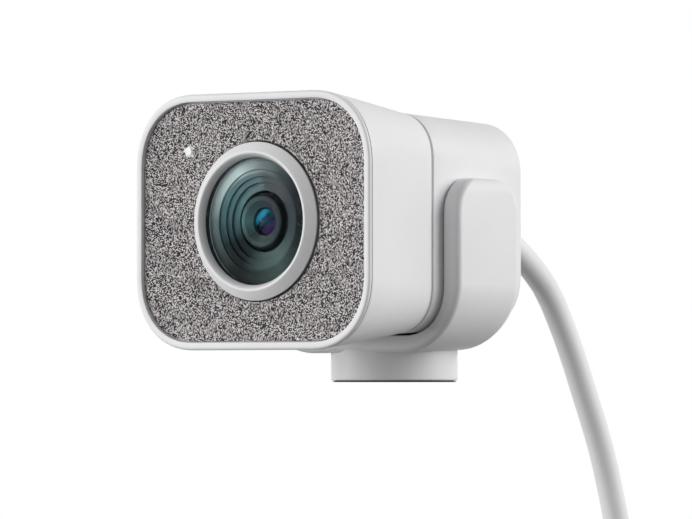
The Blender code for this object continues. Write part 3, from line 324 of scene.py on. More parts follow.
def cylinder(name, radius, low, high, place=(0, 0), along="z", steps=48, edge=0.0):
    """Round bar along an axis, between two places on it, with its rims eased by a bevel."""
    bar = start_piece(name)
    axis = "xyz".index(along)
    spot = [*place]
    spot.insert(axis, (low + high) / 2)
    turn = ((0, math.pi / 2, 0), (math.pi / 2, 0, 0), (0, 0, 0))[axis]
    bpy.ops.mesh.primitive_cylinder_add(
        vertices=steps, radius=radius, depth=high - low, location=spot, rotation=turn
    )
    if edge:
        bpy.ops.mesh.select_all(action="DESELECT")
        shape = bmesh.from_edit_mesh(bar.data)
        for rim in shape.edges:
            if abs(rim.verts[0].co[axis] - rim.verts[1].co[axis]) < edge / 10:
                rim.select_set(True)
        bmesh.update_edit_mesh(bar.data)
        bpy.ops.mesh.bevel(offset=edge, segments=4, affect="EDGES")
    return close_piece(bar)


def corner_point(share):
    """Unit corner of the housing's outline, from +x at 0 to +z at 1: its point and its outward normal."""
    across = abs(math.cos(share * math.pi / 2)) ** (2 / CORNER_POWER)
    rise = abs(math.sin(share * math.pi / 2)) ** (2 / CORNER_POWER)
    normal = Vector((across ** (CORNER_POWER - 1), rise ** (CORNER_POWER - 1)))
    return across, rise, normal.normalized()


def cradle_path(arm_steps=14, corner_steps=18):
    """Inside of the U at its front: points, outward normals and how far each lies below an arm's top."""
    half = rear_size(BRACKET_FRONT) / 2
    corner = rear_corner(BRACKET_FRONT)
    path = []
    for step in range(arm_steps + 1):
        drop = ARM_CORNER * (1 - math.cos(step / arm_steps * math.pi / 2))
        path.append((half + BRACKET_GAP, ARM_TOP - drop, Vector((1, 0)), drop))
    for step in range(corner_steps + 1):
        across, down, normal = corner_point(step / corner_steps)
        x = half - corner + corner * across + BRACKET_GAP * normal.x
        z = -(half - corner + corner * down + BRACKET_GAP * normal.y)
        path.append((x, z, Vector((normal.x, -normal.y)), ARM_CORNER))
    other = [(-x, z, Vector((-normal.x, normal.y)), drop) for x, z, normal, drop in reversed(path)]
    return path + other


def cradle_section(x, z, normal, drop, steps=7):
    """Loop across the U: flat inside, softly rounded edges outside, narrower near an arm's top."""
    narrow = ARM_CORNER - math.sqrt(max(0, ARM_CORNER ** 2 - (ARM_CORNER - drop) ** 2))
    above = 1 - min(drop, EDGE_REACH) / EDGE_REACH
    thin = EDGE_DEPTH * (1 - math.sqrt(1 - above ** 2))
    shaved = 2 * CORNER_EASE * abs(normal.x * normal.y) + FLOOR_EASE * abs(normal.y)
    thick = BRACKET_THICKNESS - thin - shaved
    front = BRACKET_FRONT + narrow
    rear = BRACKET_BACK - narrow
    outline = [(0, front + GAP), (GAP / 3, front + GAP / 3), (GAP, front)]
    outline += [(thick - FRONT_ROUND * inset, front + FRONT_ROUND * depth) for inset, depth in quarter(steps)]
    outline += [(thick - EDGE_DEPTH * depth, rear - EDGE_REACH * inset) for inset, depth in quarter(steps)]
    outline += [(GAP, rear), (GAP / 3, rear - GAP / 3), (0, rear - GAP)]
    lean = math.tan(REAR_DRAFT) * (abs(normal.x) + abs(normal.y))
    loop = []
    for reach, y in outline:
        out = reach - lean * (y - BRACKET_FRONT)
        loop.append((x + normal.x * out, y, z + normal.y * out))
    return loop


def join_rows(shape, one, two):
    """A band of faces between two rows of as many points."""
    for i in range(len(one)):
        j = (i + 1) % len(one)
        shape.faces.new((one[i], one[j], two[j], two[i]))


cradle = start_piece("tripod_cradle")
shape = bmesh.from_edit_mesh(cradle.data)
rows = [[shape.verts.new(point) for point in cradle_section(*place)] for place in cradle_path()]
for one, two in zip(rows, rows[1:]):
    join_rows(shape, one, two)
shape.faces.new(rows[0])
shape.faces.new(rows[-1])
bmesh.update_edit_mesh(cradle.data)
close_piece(cradle)

CORNER_STEPS = 16           # facets in each corner of a rounded loop
CORNER_PROFILE = 0.5 ** (2 / CORNER_POWER)
ROUND_PROFILE = 0.5
ALL_ROUND = 0.9999          # corner of a round loop, as a share of its radius


def rounded_loop(width, height, corner, y, profile=CORNER_PROFILE):
    """Outline with softly squared corners: a plane with its corners bevelled and its face removed."""
    bpy.ops.mesh.select_all(action="DESELECT")
    bpy.ops.mesh.primitive_plane_add(size=1, location=(0, y, 0), rotation=(math.pi / 2, 0, 0))
    bpy.ops.transform.resize(value=(width, 1, height), center_override=(0, y, 0))
    bpy.ops.mesh.bevel(
        offset=corner, segments=CORNER_STEPS, profile=profile, affect="VERTICES", offset_type="OFFSET"
    )
    bpy.ops.mesh.delete(type="ONLY_FACE")


def draw_loops(piece, loops):
    """Draw loops, (width, height, corner, y) or (radius, y), and return each one's points in turn."""
    for number, loop in enumerate(loops, 1):
        if len(loop) == 2:
            radius, y = loop
            rounded_loop(2 * radius, 2 * radius, ALL_ROUND * radius, y, ROUND_PROFILE)
        else:
            rounded_loop(*loop)
        shape = bmesh.from_edit_mesh(piece.data)
        mark = shape.verts.layers.int.get("loop") or shape.verts.layers.int.new("loop")
        for vert in shape.verts:
            vert[mark] = vert[mark] or number
        bmesh.update_edit_mesh(piece.data)
    shape = bmesh.from_edit_mesh(piece.data)
    mark = shape.verts.layers.int["loop"]
    rows = [[vert for vert in shape.verts if vert[mark] == number] for number in range(1, len(loops) + 1)]
    for row in rows:
        row.sort(key=lambda vert: math.atan2(vert.co.z, vert.co.x))
    return shape, rows


def skin(name, loops, ring=False):
    """Piece with each loop joined to the next: it closes on itself as a ring, or has a cap on each end."""
    piece = start_piece(name)
    shape, rows = draw_loops(piece, loops)
    for one, two in zip(rows, rows[1:]):
        join_rows(shape, one, two)
    if ring:
        join_rows(shape, rows[-1], rows[0])
    else:
        shape.faces.new(rows[0])
        shape.faces.new(rows[-1])
    bmesh.update_edit_mesh(piece.data)
    close_piece(piece)
    piece.data.attributes.remove(piece.data.attributes["loop"])
    return piece


def side_bores(piece, name, radius, inner, outer, steps):
    """Bore both side walls between two distances from the middle, on the tilt axis."""
    for side in (-1, 1):
        low, high = sorted((side * inner, side * outer))
        carve(piece, cylinder(name, radius, low, high, (BRACKET_MIDDLE, 0), "x", steps))


stub_place = (0, MOUNT_BACK)
under_stub = STUB_BOTTOM - GAP
stub = cylinder("stub", STUB_RADIUS, STUB_BOTTOM, STUB_TOP, stub_place, steps=96, edge=STUB_EDGE)
carve(cradle, stub, "UNION")
slack = 2 * (BRACKET_GAP - GAP / 3)
ends = (BRACKET_FRONT + BRACKET_LIP, REAR_BACK)
tilt_relief = [(rear_size(y) + slack, rear_size(y) + slack, rear_corner(y), y) for y in ends]
tilt_relief = skin("tilt_relief", tilt_relief)
tilt_relief.location.z = -TILT_ROOM
carve(cradle, tilt_relief)
carve(cradle, cylinder("pad_seat", PAD_RADIUS + GAP, under_stub, PAD_TOP + GAP, stub_place, steps=64))
carve(cradle, cylinder("thread_seat", INSERT_RADIUS + GAP, under_stub, INSERT_TOP + GAP, stub_place))
arm = rear_size(BRACKET_MIDDLE) / 2 + BRACKET_GAP
side_bores(cradle, "pin_bore", PIN_RADIUS + GAP / 2, arm - GAP, arm + PIN_DEPTH + GAP, 32)


def shader_group(name, inputs, outputs):
    """Node group with inputs of given values and outputs of given kinds: its tree, inputs and end."""
    group = bpy.data.node_groups.new(name, "ShaderNodeTree")
    for label, value in inputs.items():
        kind = {4: "Color", 3: "Vector"}[len(value)] if isinstance(value, tuple) else "Float"
        made = group.interface.new_socket(label, in_out="INPUT", socket_type="NodeSocket" + kind)
        made.default_value = value
    for label, kind in outputs.items():
        group.interface.new_socket(label, in_out="OUTPUT", socket_type="NodeSocket" + kind)
    return group, group.nodes.new("NodeGroupInput").outputs, group.nodes.new("NodeGroupOutput")


def bumped(tree, height, relief):
    """Normal of a surface with a relief of that height."""
    return add_node(tree, "Bump", {"Height": height, "Distance": relief}).outputs["Normal"]


def noise(tree, spot, scale, detail, roughness=0.5):
    """Noise from 0 to 1 at a spot."""
    inputs = {"Vector": spot, "Scale": scale, "Detail": detail, "Roughness": roughness}
    return add_node(tree, "TexNoise", inputs).outputs["Fac"]


def ranged(tree, value, low, high, start=0.0, end=1.0):
    """A value's range, from low to high, spread over another."""
    inputs = {"Value": value, "From Min": low, "From Max": high, "To Min": start, "To Max": end}
    return add_node(tree, "MapRange", inputs).outputs["Result"]


FLOW_SCALE = 70.0           # melt's flow, grain and handling marks of moulded plastic
GRAIN_SCALE = 9000.0
HANDLED_SCALE = 260.0
moulded, given, result = shader_group(
    "moulded_surface",
    {"Colour": (0.8, 0.8, 0.79, 1), "Mottle": 0.03, "Grain": GRAIN_SCALE, "Smooth": 0.4, "Rough": 0.5},
    {"Colour": "Color", "Roughness": "Float", "Height": "Float"},
)
spot = object_spot(moulded)
flow = ranged(moulded, noise(moulded, spot, FLOW_SCALE, 3.0), 0.3, 0.7, 0.0, given["Mottle"])
bright = math_node(moulded, "SUBTRACT", 1.0, flow)
tint = vector_node(moulded, "SCALE", given["Colour"], bright)
handled = noise(moulded, spot, HANDLED_SCALE, 5.0, 0.7)
fill(moulded, result, {
    "Colour": tint,
    "Roughness": ranged(moulded, handled, 0.3, 0.7, given["Smooth"], given["Rough"]),
    "Height": noise(moulded, spot, given["Grain"], 2.0, 0.6),
})


def moulded_finish(name, colour, smooth, rough, grain=GRAIN_SCALE, relief=0.000012, mottle=0.03, shine=None):
    """Moulded plastic or rubber: a colour with a faint flow mottle, and a grain with its own relief."""
    made, tree, shader = new_finish(name)
    surface = {"Colour": (*colour, 1), "Mottle": mottle, "Grain": grain, "Smooth": smooth, "Rough": rough}
    surface = add_node(tree, "Group", surface, node_tree=moulded).outputs
    fill(tree, shader, {
        "Base Color": surface["Colour"],
        "Roughness": surface["Roughness"],
        "Normal": bumped(tree, surface["Height"], relief),
        **(shine or {}),
    })
    return made


white_plastic = moulded_finish("white_plastic", (0.824, 0.824, 0.834), 0.42, 0.52)
settle(cradle, white_plastic, 32)
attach(cradle, "bracket")
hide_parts("tripod_bracket")

# ---- tripod thread and foot pad ---------------------------------------------------------------------------
# Brass insert with a quarter-inch thread, moulded into the stub, and the thin ribbed rubber pad round it that
# stands on the tripod's head.
THREAD_RADIUS = 0.003175
THREAD_DEPTH = 0.00045
THREAD_PITCH = 0.00127
THREAD_TURNS = 4
PAD_BOTTOM = -0.0311
PAD_GROOVE = 0.0002
PAD_FLANGE = 0.0123
PAD_FLANGE_TOP = -0.03093
PAD_RIBS = 7
MARKS_SCALE = 5000.0        # machining marks, and how deep they are on turned and on brushed metal
MARKS_RELIEF = 0.000004
BRUSHED_RELIEF = 0.00001
UPRIGHT = (math.pi / 2, 0, 0)


def turned(name, profile, steps, solid=False):
    """Piece with a profile of (radius, y) drawn point by point and spun round the lens axis: a closed ring,
    or a solid from axis to axis."""
    piece = start_piece(name)
    radius, y = profile[0]
    bpy.ops.mesh.select_mode(type="VERT")
    bpy.ops.mesh.primitive_plane_add(size=GAP, location=(radius, y, 0))
    bpy.ops.mesh.merge(type="CENTER")
    for one, two in zip(profile, profile[1:]):
        step = (two[0] - one[0], two[1] - one[1], 0)
        bpy.ops.mesh.extrude_region_move(TRANSFORM_OT_translate={"value": step})
    if not solid:
        bpy.ops.mesh.select_all(action="DESELECT")
        shape = bmesh.from_edit_mesh(piece.data)
        for vert in shape.verts:
            if len(vert.link_edges) == 1:
                vert.select_set(True)
        bmesh.update_edit_mesh(piece.data)
        bpy.ops.mesh.edge_face_add()
    bpy.ops.mesh.select_all(action="SELECT")
    bpy.ops.mesh.spin(steps=steps, angle=2 * math.pi, center=(0, 0, 0), axis=(0, 1, 0))
    return close_piece(piece)


def arc(radius, y, size, start, end, steps):
    """Points of a small round of that size about (radius, y), from one angle to another, in degrees."""
    angles = [math.radians(start + (end - start) * step / steps) for step in range(steps + 1)]
    return [(radius + size * math.cos(angle), y + size * math.sin(angle)) for angle in angles]


crests = []
thread_low = STUB_BOTTOM + GAP
crest = THREAD_RADIUS + THREAD_DEPTH
for turn in range(THREAD_TURNS):
    z = thread_low + turn * THREAD_PITCH
    crests += [(THREAD_RADIUS, z), (THREAD_RADIUS, z + THREAD_PITCH / 8)]
    crests += [(crest, z + THREAD_PITCH / 2), (crest, z + 5 * THREAD_PITCH / 8)]
crests += [(THREAD_RADIUS, thread_low + (THREAD_TURNS - 1 / 8) * THREAD_PITCH), (THREAD_RADIUS, INSERT_TOP)]
profile = [(crest, STUB_BOTTOM), *crests, (INSERT_RADIUS, INSERT_TOP), (INSERT_RADIUS, STUB_BOTTOM)]
insert = turned("brass_thread", profile, 64)

bore = INSERT_RADIUS + GAP
profile = [(bore, PAD_TOP), (bore, PAD_BOTTOM + GAP / 2), (bore + GAP / 2, PAD_BOTTOM)]
rib_pitch = (PAD_RADIUS - GAP - bore) / PAD_RIBS
for rib in range(1, PAD_RIBS):
    radius = bore + rib * rib_pitch
    profile += [(radius - PAD_GROOVE, PAD_BOTTOM), (radius - PAD_GROOVE / 3, PAD_BOTTOM + PAD_GROOVE)]
    profile += [(radius + PAD_GROOVE / 3, PAD_BOTTOM + PAD_GROOVE), (radius + PAD_GROOVE, PAD_BOTTOM)]
profile += [(PAD_FLANGE - GAP / 4, PAD_BOTTOM), (PAD_FLANGE, PAD_BOTTOM + GAP / 4)]
profile += [(PAD_FLANGE, PAD_FLANGE_TOP), (PAD_RADIUS, PAD_FLANGE_TOP), (PAD_RADIUS, PAD_TOP)]
pad = turned("foot_pad_ribbed", profile, 96)


machined, given, result = shader_group(
    "machined_metal",
    {"Colour": (0.8, 0.8, 0.8, 1), "Rough": 0.3, "Stretch": (1, 1, 1)},
    {"Colour": "Color", "Roughness": "Float", "Height": "Float"},
)
drawn = {"Vector": object_spot(machined), "Scale": given["Stretch"]}
marks = noise(machined, add_node(machined, "Mapping", drawn).outputs[0], MARKS_SCALE, 3.0)
roughened = ranged(machined, marks, 0.0, 1.0, -0.08, 0.1)
fill(machined, result, {
    "Colour": vector_node(machined, "SCALE", given["Colour"], ranged(machined, marks, 0.25, 0.7, 0.8, 1.0)),
    "Roughness": math_node(machined, "ADD", given["Rough"], roughened),
    "Height": marks,
})


def metal_finish(name, colour, rough, brushed=0.0, stretch=(1, 1, 1)):
    """Bare metal with faint machining marks, stretched along one axis where it is brushed."""
    made, tree, shader = new_finish(name)
    surface = {"Colour": (*colour, 1), "Rough": rough, "Stretch": stretch}
    surface = add_node(tree, "Group", surface, node_tree=machined).outputs
    fill(tree, shader, {
        "Base Color": surface["Colour"],
        "Roughness": surface["Roughness"],
        "Normal": bumped(tree, surface["Height"], MARKS_RELIEF + BRUSHED_RELIEF * brushed),
        "Metallic": 1.0,
    })
    return made


brass = metal_finish("turned_brass", (0.76, 0.58, 0.28), 0.3)
black_rubber = moulded_finish("black_rubber", (0.028, 0.028, 0.029), 0.7, 0.85, 5000.0, 0.00002, 0.2)
settle(insert, brass, 30, UPRIGHT, (0, MOUNT_BACK, 0))
settle(pad, black_rubber, 30, UPRIGHT, (0, MOUNT_BACK, 0))
for piece, node, finish in ((insert, "thread_insert", "brass"), (pad, "foot_pad", "black_rubber")):
    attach(piece, "bracket")
    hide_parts(node)

# ---- tilt pivots ------------------------------------------------------------------------------------------
# Headed steel pins pressed into the arms, and the plastic friction bushes in the housing's walls that they
# turn in. Both keep their turned shape.
steel = metal_finish("bright_steel", (0.62, 0.62, 0.63), 0.3)
black_plastic = moulded_finish("black_plastic", (0.014, 0.014, 0.015), 0.38, 0.5, 7000.0, 0.00001, 0.25)


def paint(finish, *nodes):
    """Give CAD pieces a finish of the scene's own."""
    for name in nodes:
        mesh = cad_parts[name].data
        mesh.materials.clear()
        mesh.materials.append(finish)


paint(steel, "left_pivot_pin", "right_pivot_pin")
paint(black_plastic, "left_tilt_bush", "right_tilt_bush")

# ---- rear housing -----------------------------------------------------------------------------------------
# Square cup of white plastic with softened edges, moulded with a slight draft; the pivots sit in its side
# walls and the cable's sleeve in its back.
REAR_WALL = 0.0020
REAR_EDGE = 0.0014
RELIEF_BORE = 0.0041
BUSH_RADIUS = 0.0043
BORE_EDGE = 0.0002


def rear_loop(y, inset=0.0):
    """Outline of the housing at a depth, drawn in by an inset."""
    size = rear_size(y) - 2 * inset
    return (size, size, max(rear_corner(y) - inset, GAP), y)


def eased(radius, steps):
    """Insets and depths of a rounded edge, from the front plane inwards to the side wall."""
    return [(radius * inset, radius * depth) for inset, depth in quarter(steps)]


loops = [rear_loop(REAR_FRONT + depth, inset) for inset, depth in eased(GAP, 3)]
loops += [rear_loop(REAR_FRONT + share * (REAR_BACK - REAR_FRONT)) for share in (0.15, 0.35, 0.55, 0.75, 0.9)]
loops += [rear_loop(REAR_BACK - depth, inset) for inset, depth in reversed(eased(REAR_EDGE, 10))]
loops += [(RELIEF_BORE + BORE_EDGE, REAR_BACK), (RELIEF_BORE, REAR_BACK - BORE_EDGE)]
loops += [(RELIEF_BORE, REAR_BACK - REAR_WALL), rear_loop(REAR_BACK - REAR_WALL, REAR_WALL)]
loops.append(rear_loop(REAR_FRONT, REAR_WALL))
housing = skin("rear_cup", loops, ring=True)
wall = rear_size(BRACKET_MIDDLE) / 2
side_bores(housing, "bush_bore", BUSH_RADIUS, wall - 1.5 * REAR_WALL, wall + GAP, 48)
settle(housing, white_plastic, 32)
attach(housing, "camera_base")
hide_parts("rear_housing")

# ---- shade strip ------------------------------------------------------------------------------------------
# Black strip under the housing, just behind the bracket's front lip: a dark sheet put in the slot that is
# left there for the tilt as painted shade, so that no light comes through and the gap shows as a shadow line.
SHADE_STRIP_FRONT = 0.0375
SHADE_STRIP_BACK = 0.0405
SHADE_STRIP_WIDTH = 0.0234
SHADE_STRIP_THICKNESS = 0.0009
shade_strip_top = -rear_size(SHADE_STRIP_BACK) / 2
shade_strip = start_piece("slot_shade_strip")
bpy.ops.mesh.primitive_cube_add(size=1)
bpy.ops.transform.resize(value=(SHADE_STRIP_WIDTH, SHADE_STRIP_BACK - SHADE_STRIP_FRONT, SHADE_STRIP_THICKNESS))
shade_strip_place = Vector((0, (SHADE_STRIP_FRONT + SHADE_STRIP_BACK) / 2, shade_strip_top - SHADE_STRIP_THICKNESS / 2))
bpy.ops.transform.translate(value=LENS + shade_strip_place)
bpy.ops.mesh.bevel(offset=GAP / 2, segments=2, affect="EDGES")
close_piece(shade_strip)
shade_strip.data.materials.append(black_rubber)
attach(shade_strip, "camera_base")

# ---- cable's sleeve and clip ------------------------------------------------------------------------------
# Tapered sleeve of pale rubber pushed through the housing's back, cut with ring grooves so that it bends
# evenly, and held inside by a steel clip.
RELIEF_BACK = 0.0707
RELIEF_COLLAR = 0.0047
RELIEF_TIP = 0.0034
RELIEF_PLAIN = 0.0022
RELIEF_RIBS = 4
RELIEF_GROOVE = 0.0006
RELIEF_SLOT = 0.25          # width of a groove, as a share of the ribs' pitch
CLIP_THICKNESS = 0.0012
RELIEF_FRONT = REAR_BACK - REAR_WALL - CLIP_THICKNESS - 3 * GAP
CABLE_RADIUS = 0.00265

profile = [(CABLE_RADIUS + GAP, RELIEF_FRONT), (RELIEF_BORE - GAP, RELIEF_FRONT)]
profile.append((RELIEF_BORE - GAP, REAR_BACK + GAP))
profile += arc(RELIEF_COLLAR - GAP, REAR_BACK + 2 * GAP, GAP, -90, 0, 4)
rib_start = REAR_BACK + RELIEF_PLAIN
rib_pitch = (RELIEF_BACK - rib_start) / RELIEF_RIBS
for rib in range(RELIEF_RIBS):
    radius = RELIEF_TIP + (RELIEF_COLLAR - RELIEF_TIP) * (1 - rib / RELIEF_RIBS)
    y = rib_start + rib * rib_pitch
    if rib:
        profile += [(radius - RELIEF_GROOVE, y - RELIEF_SLOT * rib_pitch), (radius - RELIEF_GROOVE, y)]
    soft = 0.1 * rib_pitch
    profile += arc(radius - soft, y + 2 * soft, soft, -90, 0, 3)
    profile += arc(radius - soft, y + 5 * soft, soft, 0, 60, 3)
profile += arc(RELIEF_TIP - GAP / 2, RELIEF_BACK - GAP / 2, GAP / 2, 0, 90, 4)
profile.append((CABLE_RADIUS + GAP, RELIEF_BACK))
sleeve = turned("cable_sleeve", profile, 64)
cable_rubber = moulded_finish("cable_rubber", (0.84, 0.84, 0.85), 0.5, 0.62, 7000.0, 0.000012, 0.05)
settle(sleeve, cable_rubber, 40)
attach(sleeve, "camera_base")
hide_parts("strain_relief")
paint(steel, "cable_clip")

# ---- swivel -----------------------------------------------------------------------------------------------
# Steel hub whose neck carries the head's rear wall, the slippery washer behind that wall, and the ring and
# three screws that keep the head on.
paint(steel, "swivel_hub", "swivel_retainer", "swivel_screw_1", "swivel_screw_2", "swivel_screw_3")
paint(black_plastic, "swivel_washer")

# ---- front shell ------------------------------------------------------------------------------------------
# White moulded shell of the head: a wide rounded mouth with a thin lip, which narrows to a square rear wall
# that turns on the hub.
FACE_WIDTH = 0.0588
FACE_HEIGHT = 0.0500
FACE_CORNER = 0.0145
SHELL_LENGTH = 0.0292
SHELL_TAPER_POWER = 1.05
SHELL_WALL = 0.0018
SHELL_LIP = 0.0002
SWIVEL_WALL_FRONT = 0.0270
HUB_RADIUS = 0.0136
BEZEL_STEP = 0.0016
RIM_SIDE = 0.0008
RIM_ROUND = 0.0006
PARTING = 0.00025


def shell_loop(y, inset=0.0):
    """Outline of the head at a depth, drawn in by an inset."""
    taper = (y / SHELL_LENGTH) ** SHELL_TAPER_POWER
    width = FACE_WIDTH + (SEAM_SIZE - FACE_WIDTH) * taper
    height = FACE_HEIGHT + (SEAM_SIZE - FACE_HEIGHT) * taper
    corner = FACE_CORNER + (SEAM_CORNER - FACE_CORNER) * taper
    return (width - 2 * inset, height - 2 * inset, max(corner - inset, GAP), y)


def face_loop(y, inset=0.0):
    """Outline inside the shell's mouth."""
    edge = SHELL_LIP + inset
    return (FACE_WIDTH - 2 * edge, FACE_HEIGHT - 2 * edge, FACE_CORNER - edge, y)


loops = [shell_loop(RIM_SIDE + PARTING, SHELL_LIP / 4), shell_loop(RIM_SIDE + PARTING + SHELL_LIP / 4)]
loops += [shell_loop(share * SHELL_LENGTH) for share in (0.06, 0.14, 0.24, 0.35, 0.47, 0.6, 0.73, 0.86)]
loops += [shell_loop(SHELL_LENGTH - depth, inset) for inset, depth in reversed(eased(GAP, 3))]
loops += [(HUB_RADIUS + GAP, SHELL_LENGTH), (HUB_RADIUS + GAP, SWIVEL_WALL_FRONT)]
inside = SWIVEL_WALL_FRONT - BEZEL_STEP
loops += [shell_loop(BEZEL_STEP + share * inside, SHELL_WALL) for share in (1.0, 0.75, 0.5, 0.25, 0)]
loops += [face_loop(BEZEL_STEP), face_loop(RIM_SIDE + PARTING)]
shell = skin("head_shell", loops, ring=True)
settle(shell, white_plastic, 32)
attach(shell, "head")
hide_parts("front_shell")

# ---- boards, frame and heat sink --------------------------------------------------------------------------
# Black plastic frame with screw posts, the green main board on it with its chips, four steel screws, the
# finned aluminium heat sink behind and the two microphones in rubber boots in front.
aluminium = metal_finish("brushed_aluminium", (0.80, 0.81, 0.82), 0.35, 1.0, (0.08, 1, 1))
paint(black_plastic, "front_frame")
paint(aluminium, "heat_sink")
paint(steel, "board_screw_1", "board_screw_2", "board_screw_3", "board_screw_4")
paint(black_rubber, "left_microphone", "right_microphone")

TRACK_PITCH = 0.0008
TRACK_LENGTH = 0.0045
TRACK_GAP = 0.00008
TRACK_RELIEF = 0.00003
board_green, tree, shader = new_finish("board_green")
tracks = add_node(tree, "TexBrick", {
    "Vector": add_node(tree, "Mapping", {"Vector": object_spot(tree), "Rotation": UPRIGHT}).outputs[0],
    "Scale": 1.0, "Mortar Size": TRACK_GAP, "Brick Width": TRACK_LENGTH, "Row Height": TRACK_PITCH,
    "Color1": (0.012, 0.075, 0.035, 1), "Color2": (0.016, 0.10, 0.045, 1), "Mortar": (0.03, 0.20, 0.09, 1),
}).outputs
relief = bumped(tree, tracks["Fac"], TRACK_RELIEF)
fill(tree, shader, {"Base Color": tracks["Color"], "Normal": relief, "Roughness": 0.35})
paint(board_green, "main_board", "sensor_board")

# ---- focus motor and image sensor -------------------------------------------------------------------------
# Square steel can with the magnets, the coil of copper wire on the moving barrel inside it, and the image
# sensor's glass behind the barrel. The coil is coloured nearly black as painted shade, so that it stays dark
# where it shows past the funnel.
WIRE_PITCH = 0.00022
WAVE_LENGTH = 0.314         # pitch of a wave texture at a scale of one
WIRE_RELIEF = 0.00008
shaded_copper_wire, tree, shader = new_finish("copper_winding_painted_shade")
wound = {"Vector": object_spot(tree), "Scale": WAVE_LENGTH / WIRE_PITCH, "Distortion": 0.4}
wound = add_node(tree, "TexWave", wound, bands_direction="Y").outputs["Fac"]
# Painted shade: the copper is kept nearly black.
fill(tree, shader, {
    "Base Color": colour_ramp(tree, wound, ((0.0, (0.02, 0.008, 0.005)), (1.0, (0.10, 0.035, 0.02)))),
    "Normal": bumped(tree, wound, WIRE_RELIEF),
    "Metallic": 1.0,
    "Roughness": 0.35,
})
paint(shaded_copper_wire, "focus_coil")
paint(steel, "focus_motor")

sensor_glass = moulded_finish(
    "sensor_glass", (0.05, 0.035, 0.07), 0.08, 0.16, 12000.0, 0.000001, 0.3, {"Coat Weight": 1.0}
)
paint(sensor_glass, "image_sensor")

# ---- lens barrel and front element ------------------------------------------------------------------------
# Black barrel of the lens, which the motor slides, with a satin front ring and threaded sides, and the domed
# front element cemented in it. The coatings' reflections are painted into their colours: teal and mauve on
# the front ring, blue above and violet below on the element.
BARREL_RADIUS = 0.0056
BARREL_FRONT = 0.00315
BARREL_BACK = 0.01263
BARREL_BORE = 0.0028
BARREL_THREAD = 0.0003
BARREL_GROOVE = 0.00012
BARREL_PLAIN = 0.0022       # length at the front that has no thread
NOSE_LENGTH = 0.0016
NOSE_STEP = 0.0004          # how much narrower the nose is, and the round of its outer edge
NOSE_EDGE = 0.0001
NOSE_MOUTH = 0.0013         # width of the cone from the nose's edge down to the bore
NOSE_RADIUS = BARREL_RADIUS - NOSE_STEP - NOSE_EDGE
ELEMENT_DEPTH = 0.0010
ELEMENT_THICKNESS = 0.0016

BARREL_REFLECTION = (             # painted reflection: turn from the left over the bottom, and colour
    (0.0, (0.050, 0.088, 0.088)), (0.12, (0.020, 0.026, 0.026)), (0.25, (0.036, 0.044, 0.044)),
    (0.5, (0.022, 0.022, 0.027)), (0.68, (0.030, 0.026, 0.034)), (0.8, (0.030, 0.042, 0.043)),
    (1.0, (0.050, 0.088, 0.088)),
)
BARREL_SIDE = ((0.0, (0.006, 0.007, 0.007)), (1.0, (0.006, 0.007, 0.007)))
ELEMENT_REFLECTION = (            # painted reflections of the coatings, from the lower right to the upper left
    (0.0, (0.006, 0.003, 0.008)), (0.14, (0.032, 0.007, 0.040)), (0.26, (0.016, 0.004, 0.022)),
    (0.38, (0.002, 0.002, 0.003)), (0.62, (0.002, 0.003, 0.004)), (0.72, (0.003, 0.070, 0.11)),
    (0.84, (0.005, 0.13, 0.22)), (1.0, (0.002, 0.02, 0.04)),
)


def lens_axes(tree):
    """A point's way from the lens axis, across and up."""
    centred = add_node(tree, "Mapping", {"Vector": object_spot(tree), "Location": tuple(-LENS)}).outputs[0]
    axes = add_node(tree, "SeparateXYZ", {0: centred}).outputs
    return axes["X"], axes["Z"]


def painted_reflection_finish(name, inner_reflection, outer_reflection, edge_radius, edge_shift, roughness):
    """Black plastic with the glass coatings' reflections painted into its colour round the lens, and only
    faint
    reflections of its own: one ring of painted reflections inside a circle, and another outside it."""
    made, tree, shader = new_finish(name)
    x, z = lens_axes(tree)
    facing = add_node(tree, "CombineXYZ", {0: x, 1: z, 2: 0.0}).outputs[0]
    turn = add_node(tree, "TexGradient", {"Vector": facing}, gradient_type="RADIAL").outputs["Fac"]
    away = distance(tree, vector_node(tree, "ADD", facing, (edge_shift, 0, 0)))
    outside = ranged(tree, away, edge_radius - GAP, edge_radius + GAP)
    reflections = [colour_ramp(tree, turn, glow) for glow in (inner_reflection, outer_reflection)]
    colour = mix_colours(tree, outside, *reflections)
    surface = {"Colour": colour, "Smooth": roughness, "Rough": roughness + 0.1}
    surface = add_node(tree, "Group", surface, node_tree=moulded).outputs
    fill(tree, shader, {
        "Base Color": surface["Colour"], "Roughness": surface["Roughness"], "Specular IOR Level": 0.02
    })
    return made


profile = [(BARREL_RADIUS, BARREL_BACK)]
y = BARREL_BACK - 2 * BARREL_THREAD
while y > BARREL_FRONT + BARREL_PLAIN:
    profile += [(BARREL_RADIUS, y), (BARREL_RADIUS - BARREL_GROOVE, y - BARREL_THREAD / 2)]
    y -= BARREL_THREAD
nose_back = BARREL_FRONT + NOSE_LENGTH
profile += [(BARREL_RADIUS, nose_back), (BARREL_RADIUS - NOSE_STEP, nose_back - NOSE_STEP / 2)]
profile += [(NOSE_RADIUS, BARREL_FRONT + NOSE_STEP + NOSE_EDGE)]
profile += arc(NOSE_RADIUS - NOSE_STEP, BARREL_FRONT + NOSE_STEP, NOSE_STEP, 0, -90, 5)
profile += arc(BARREL_BORE + NOSE_MOUTH, BARREL_FRONT + NOSE_EDGE, NOSE_EDGE, -90, -140, 3)
crown = BARREL_FRONT + ELEMENT_DEPTH
profile += [(BARREL_BORE + NOSE_EDGE, crown), (BARREL_BORE, crown), (BARREL_BORE, BARREL_BACK)]
barrel = turned("lens_tube", profile, 128)
# The coatings' reflections are painted on the front ring, inside the nose's edge.
reflection_edge = NOSE_RADIUS - NOSE_EDGE / 2
barrel_painted_reflection = painted_reflection_finish("barrel_painted_reflection", BARREL_REFLECTION, BARREL_SIDE, reflection_edge, 0.0, 0.45)
settle(barrel, barrel_painted_reflection, 30)

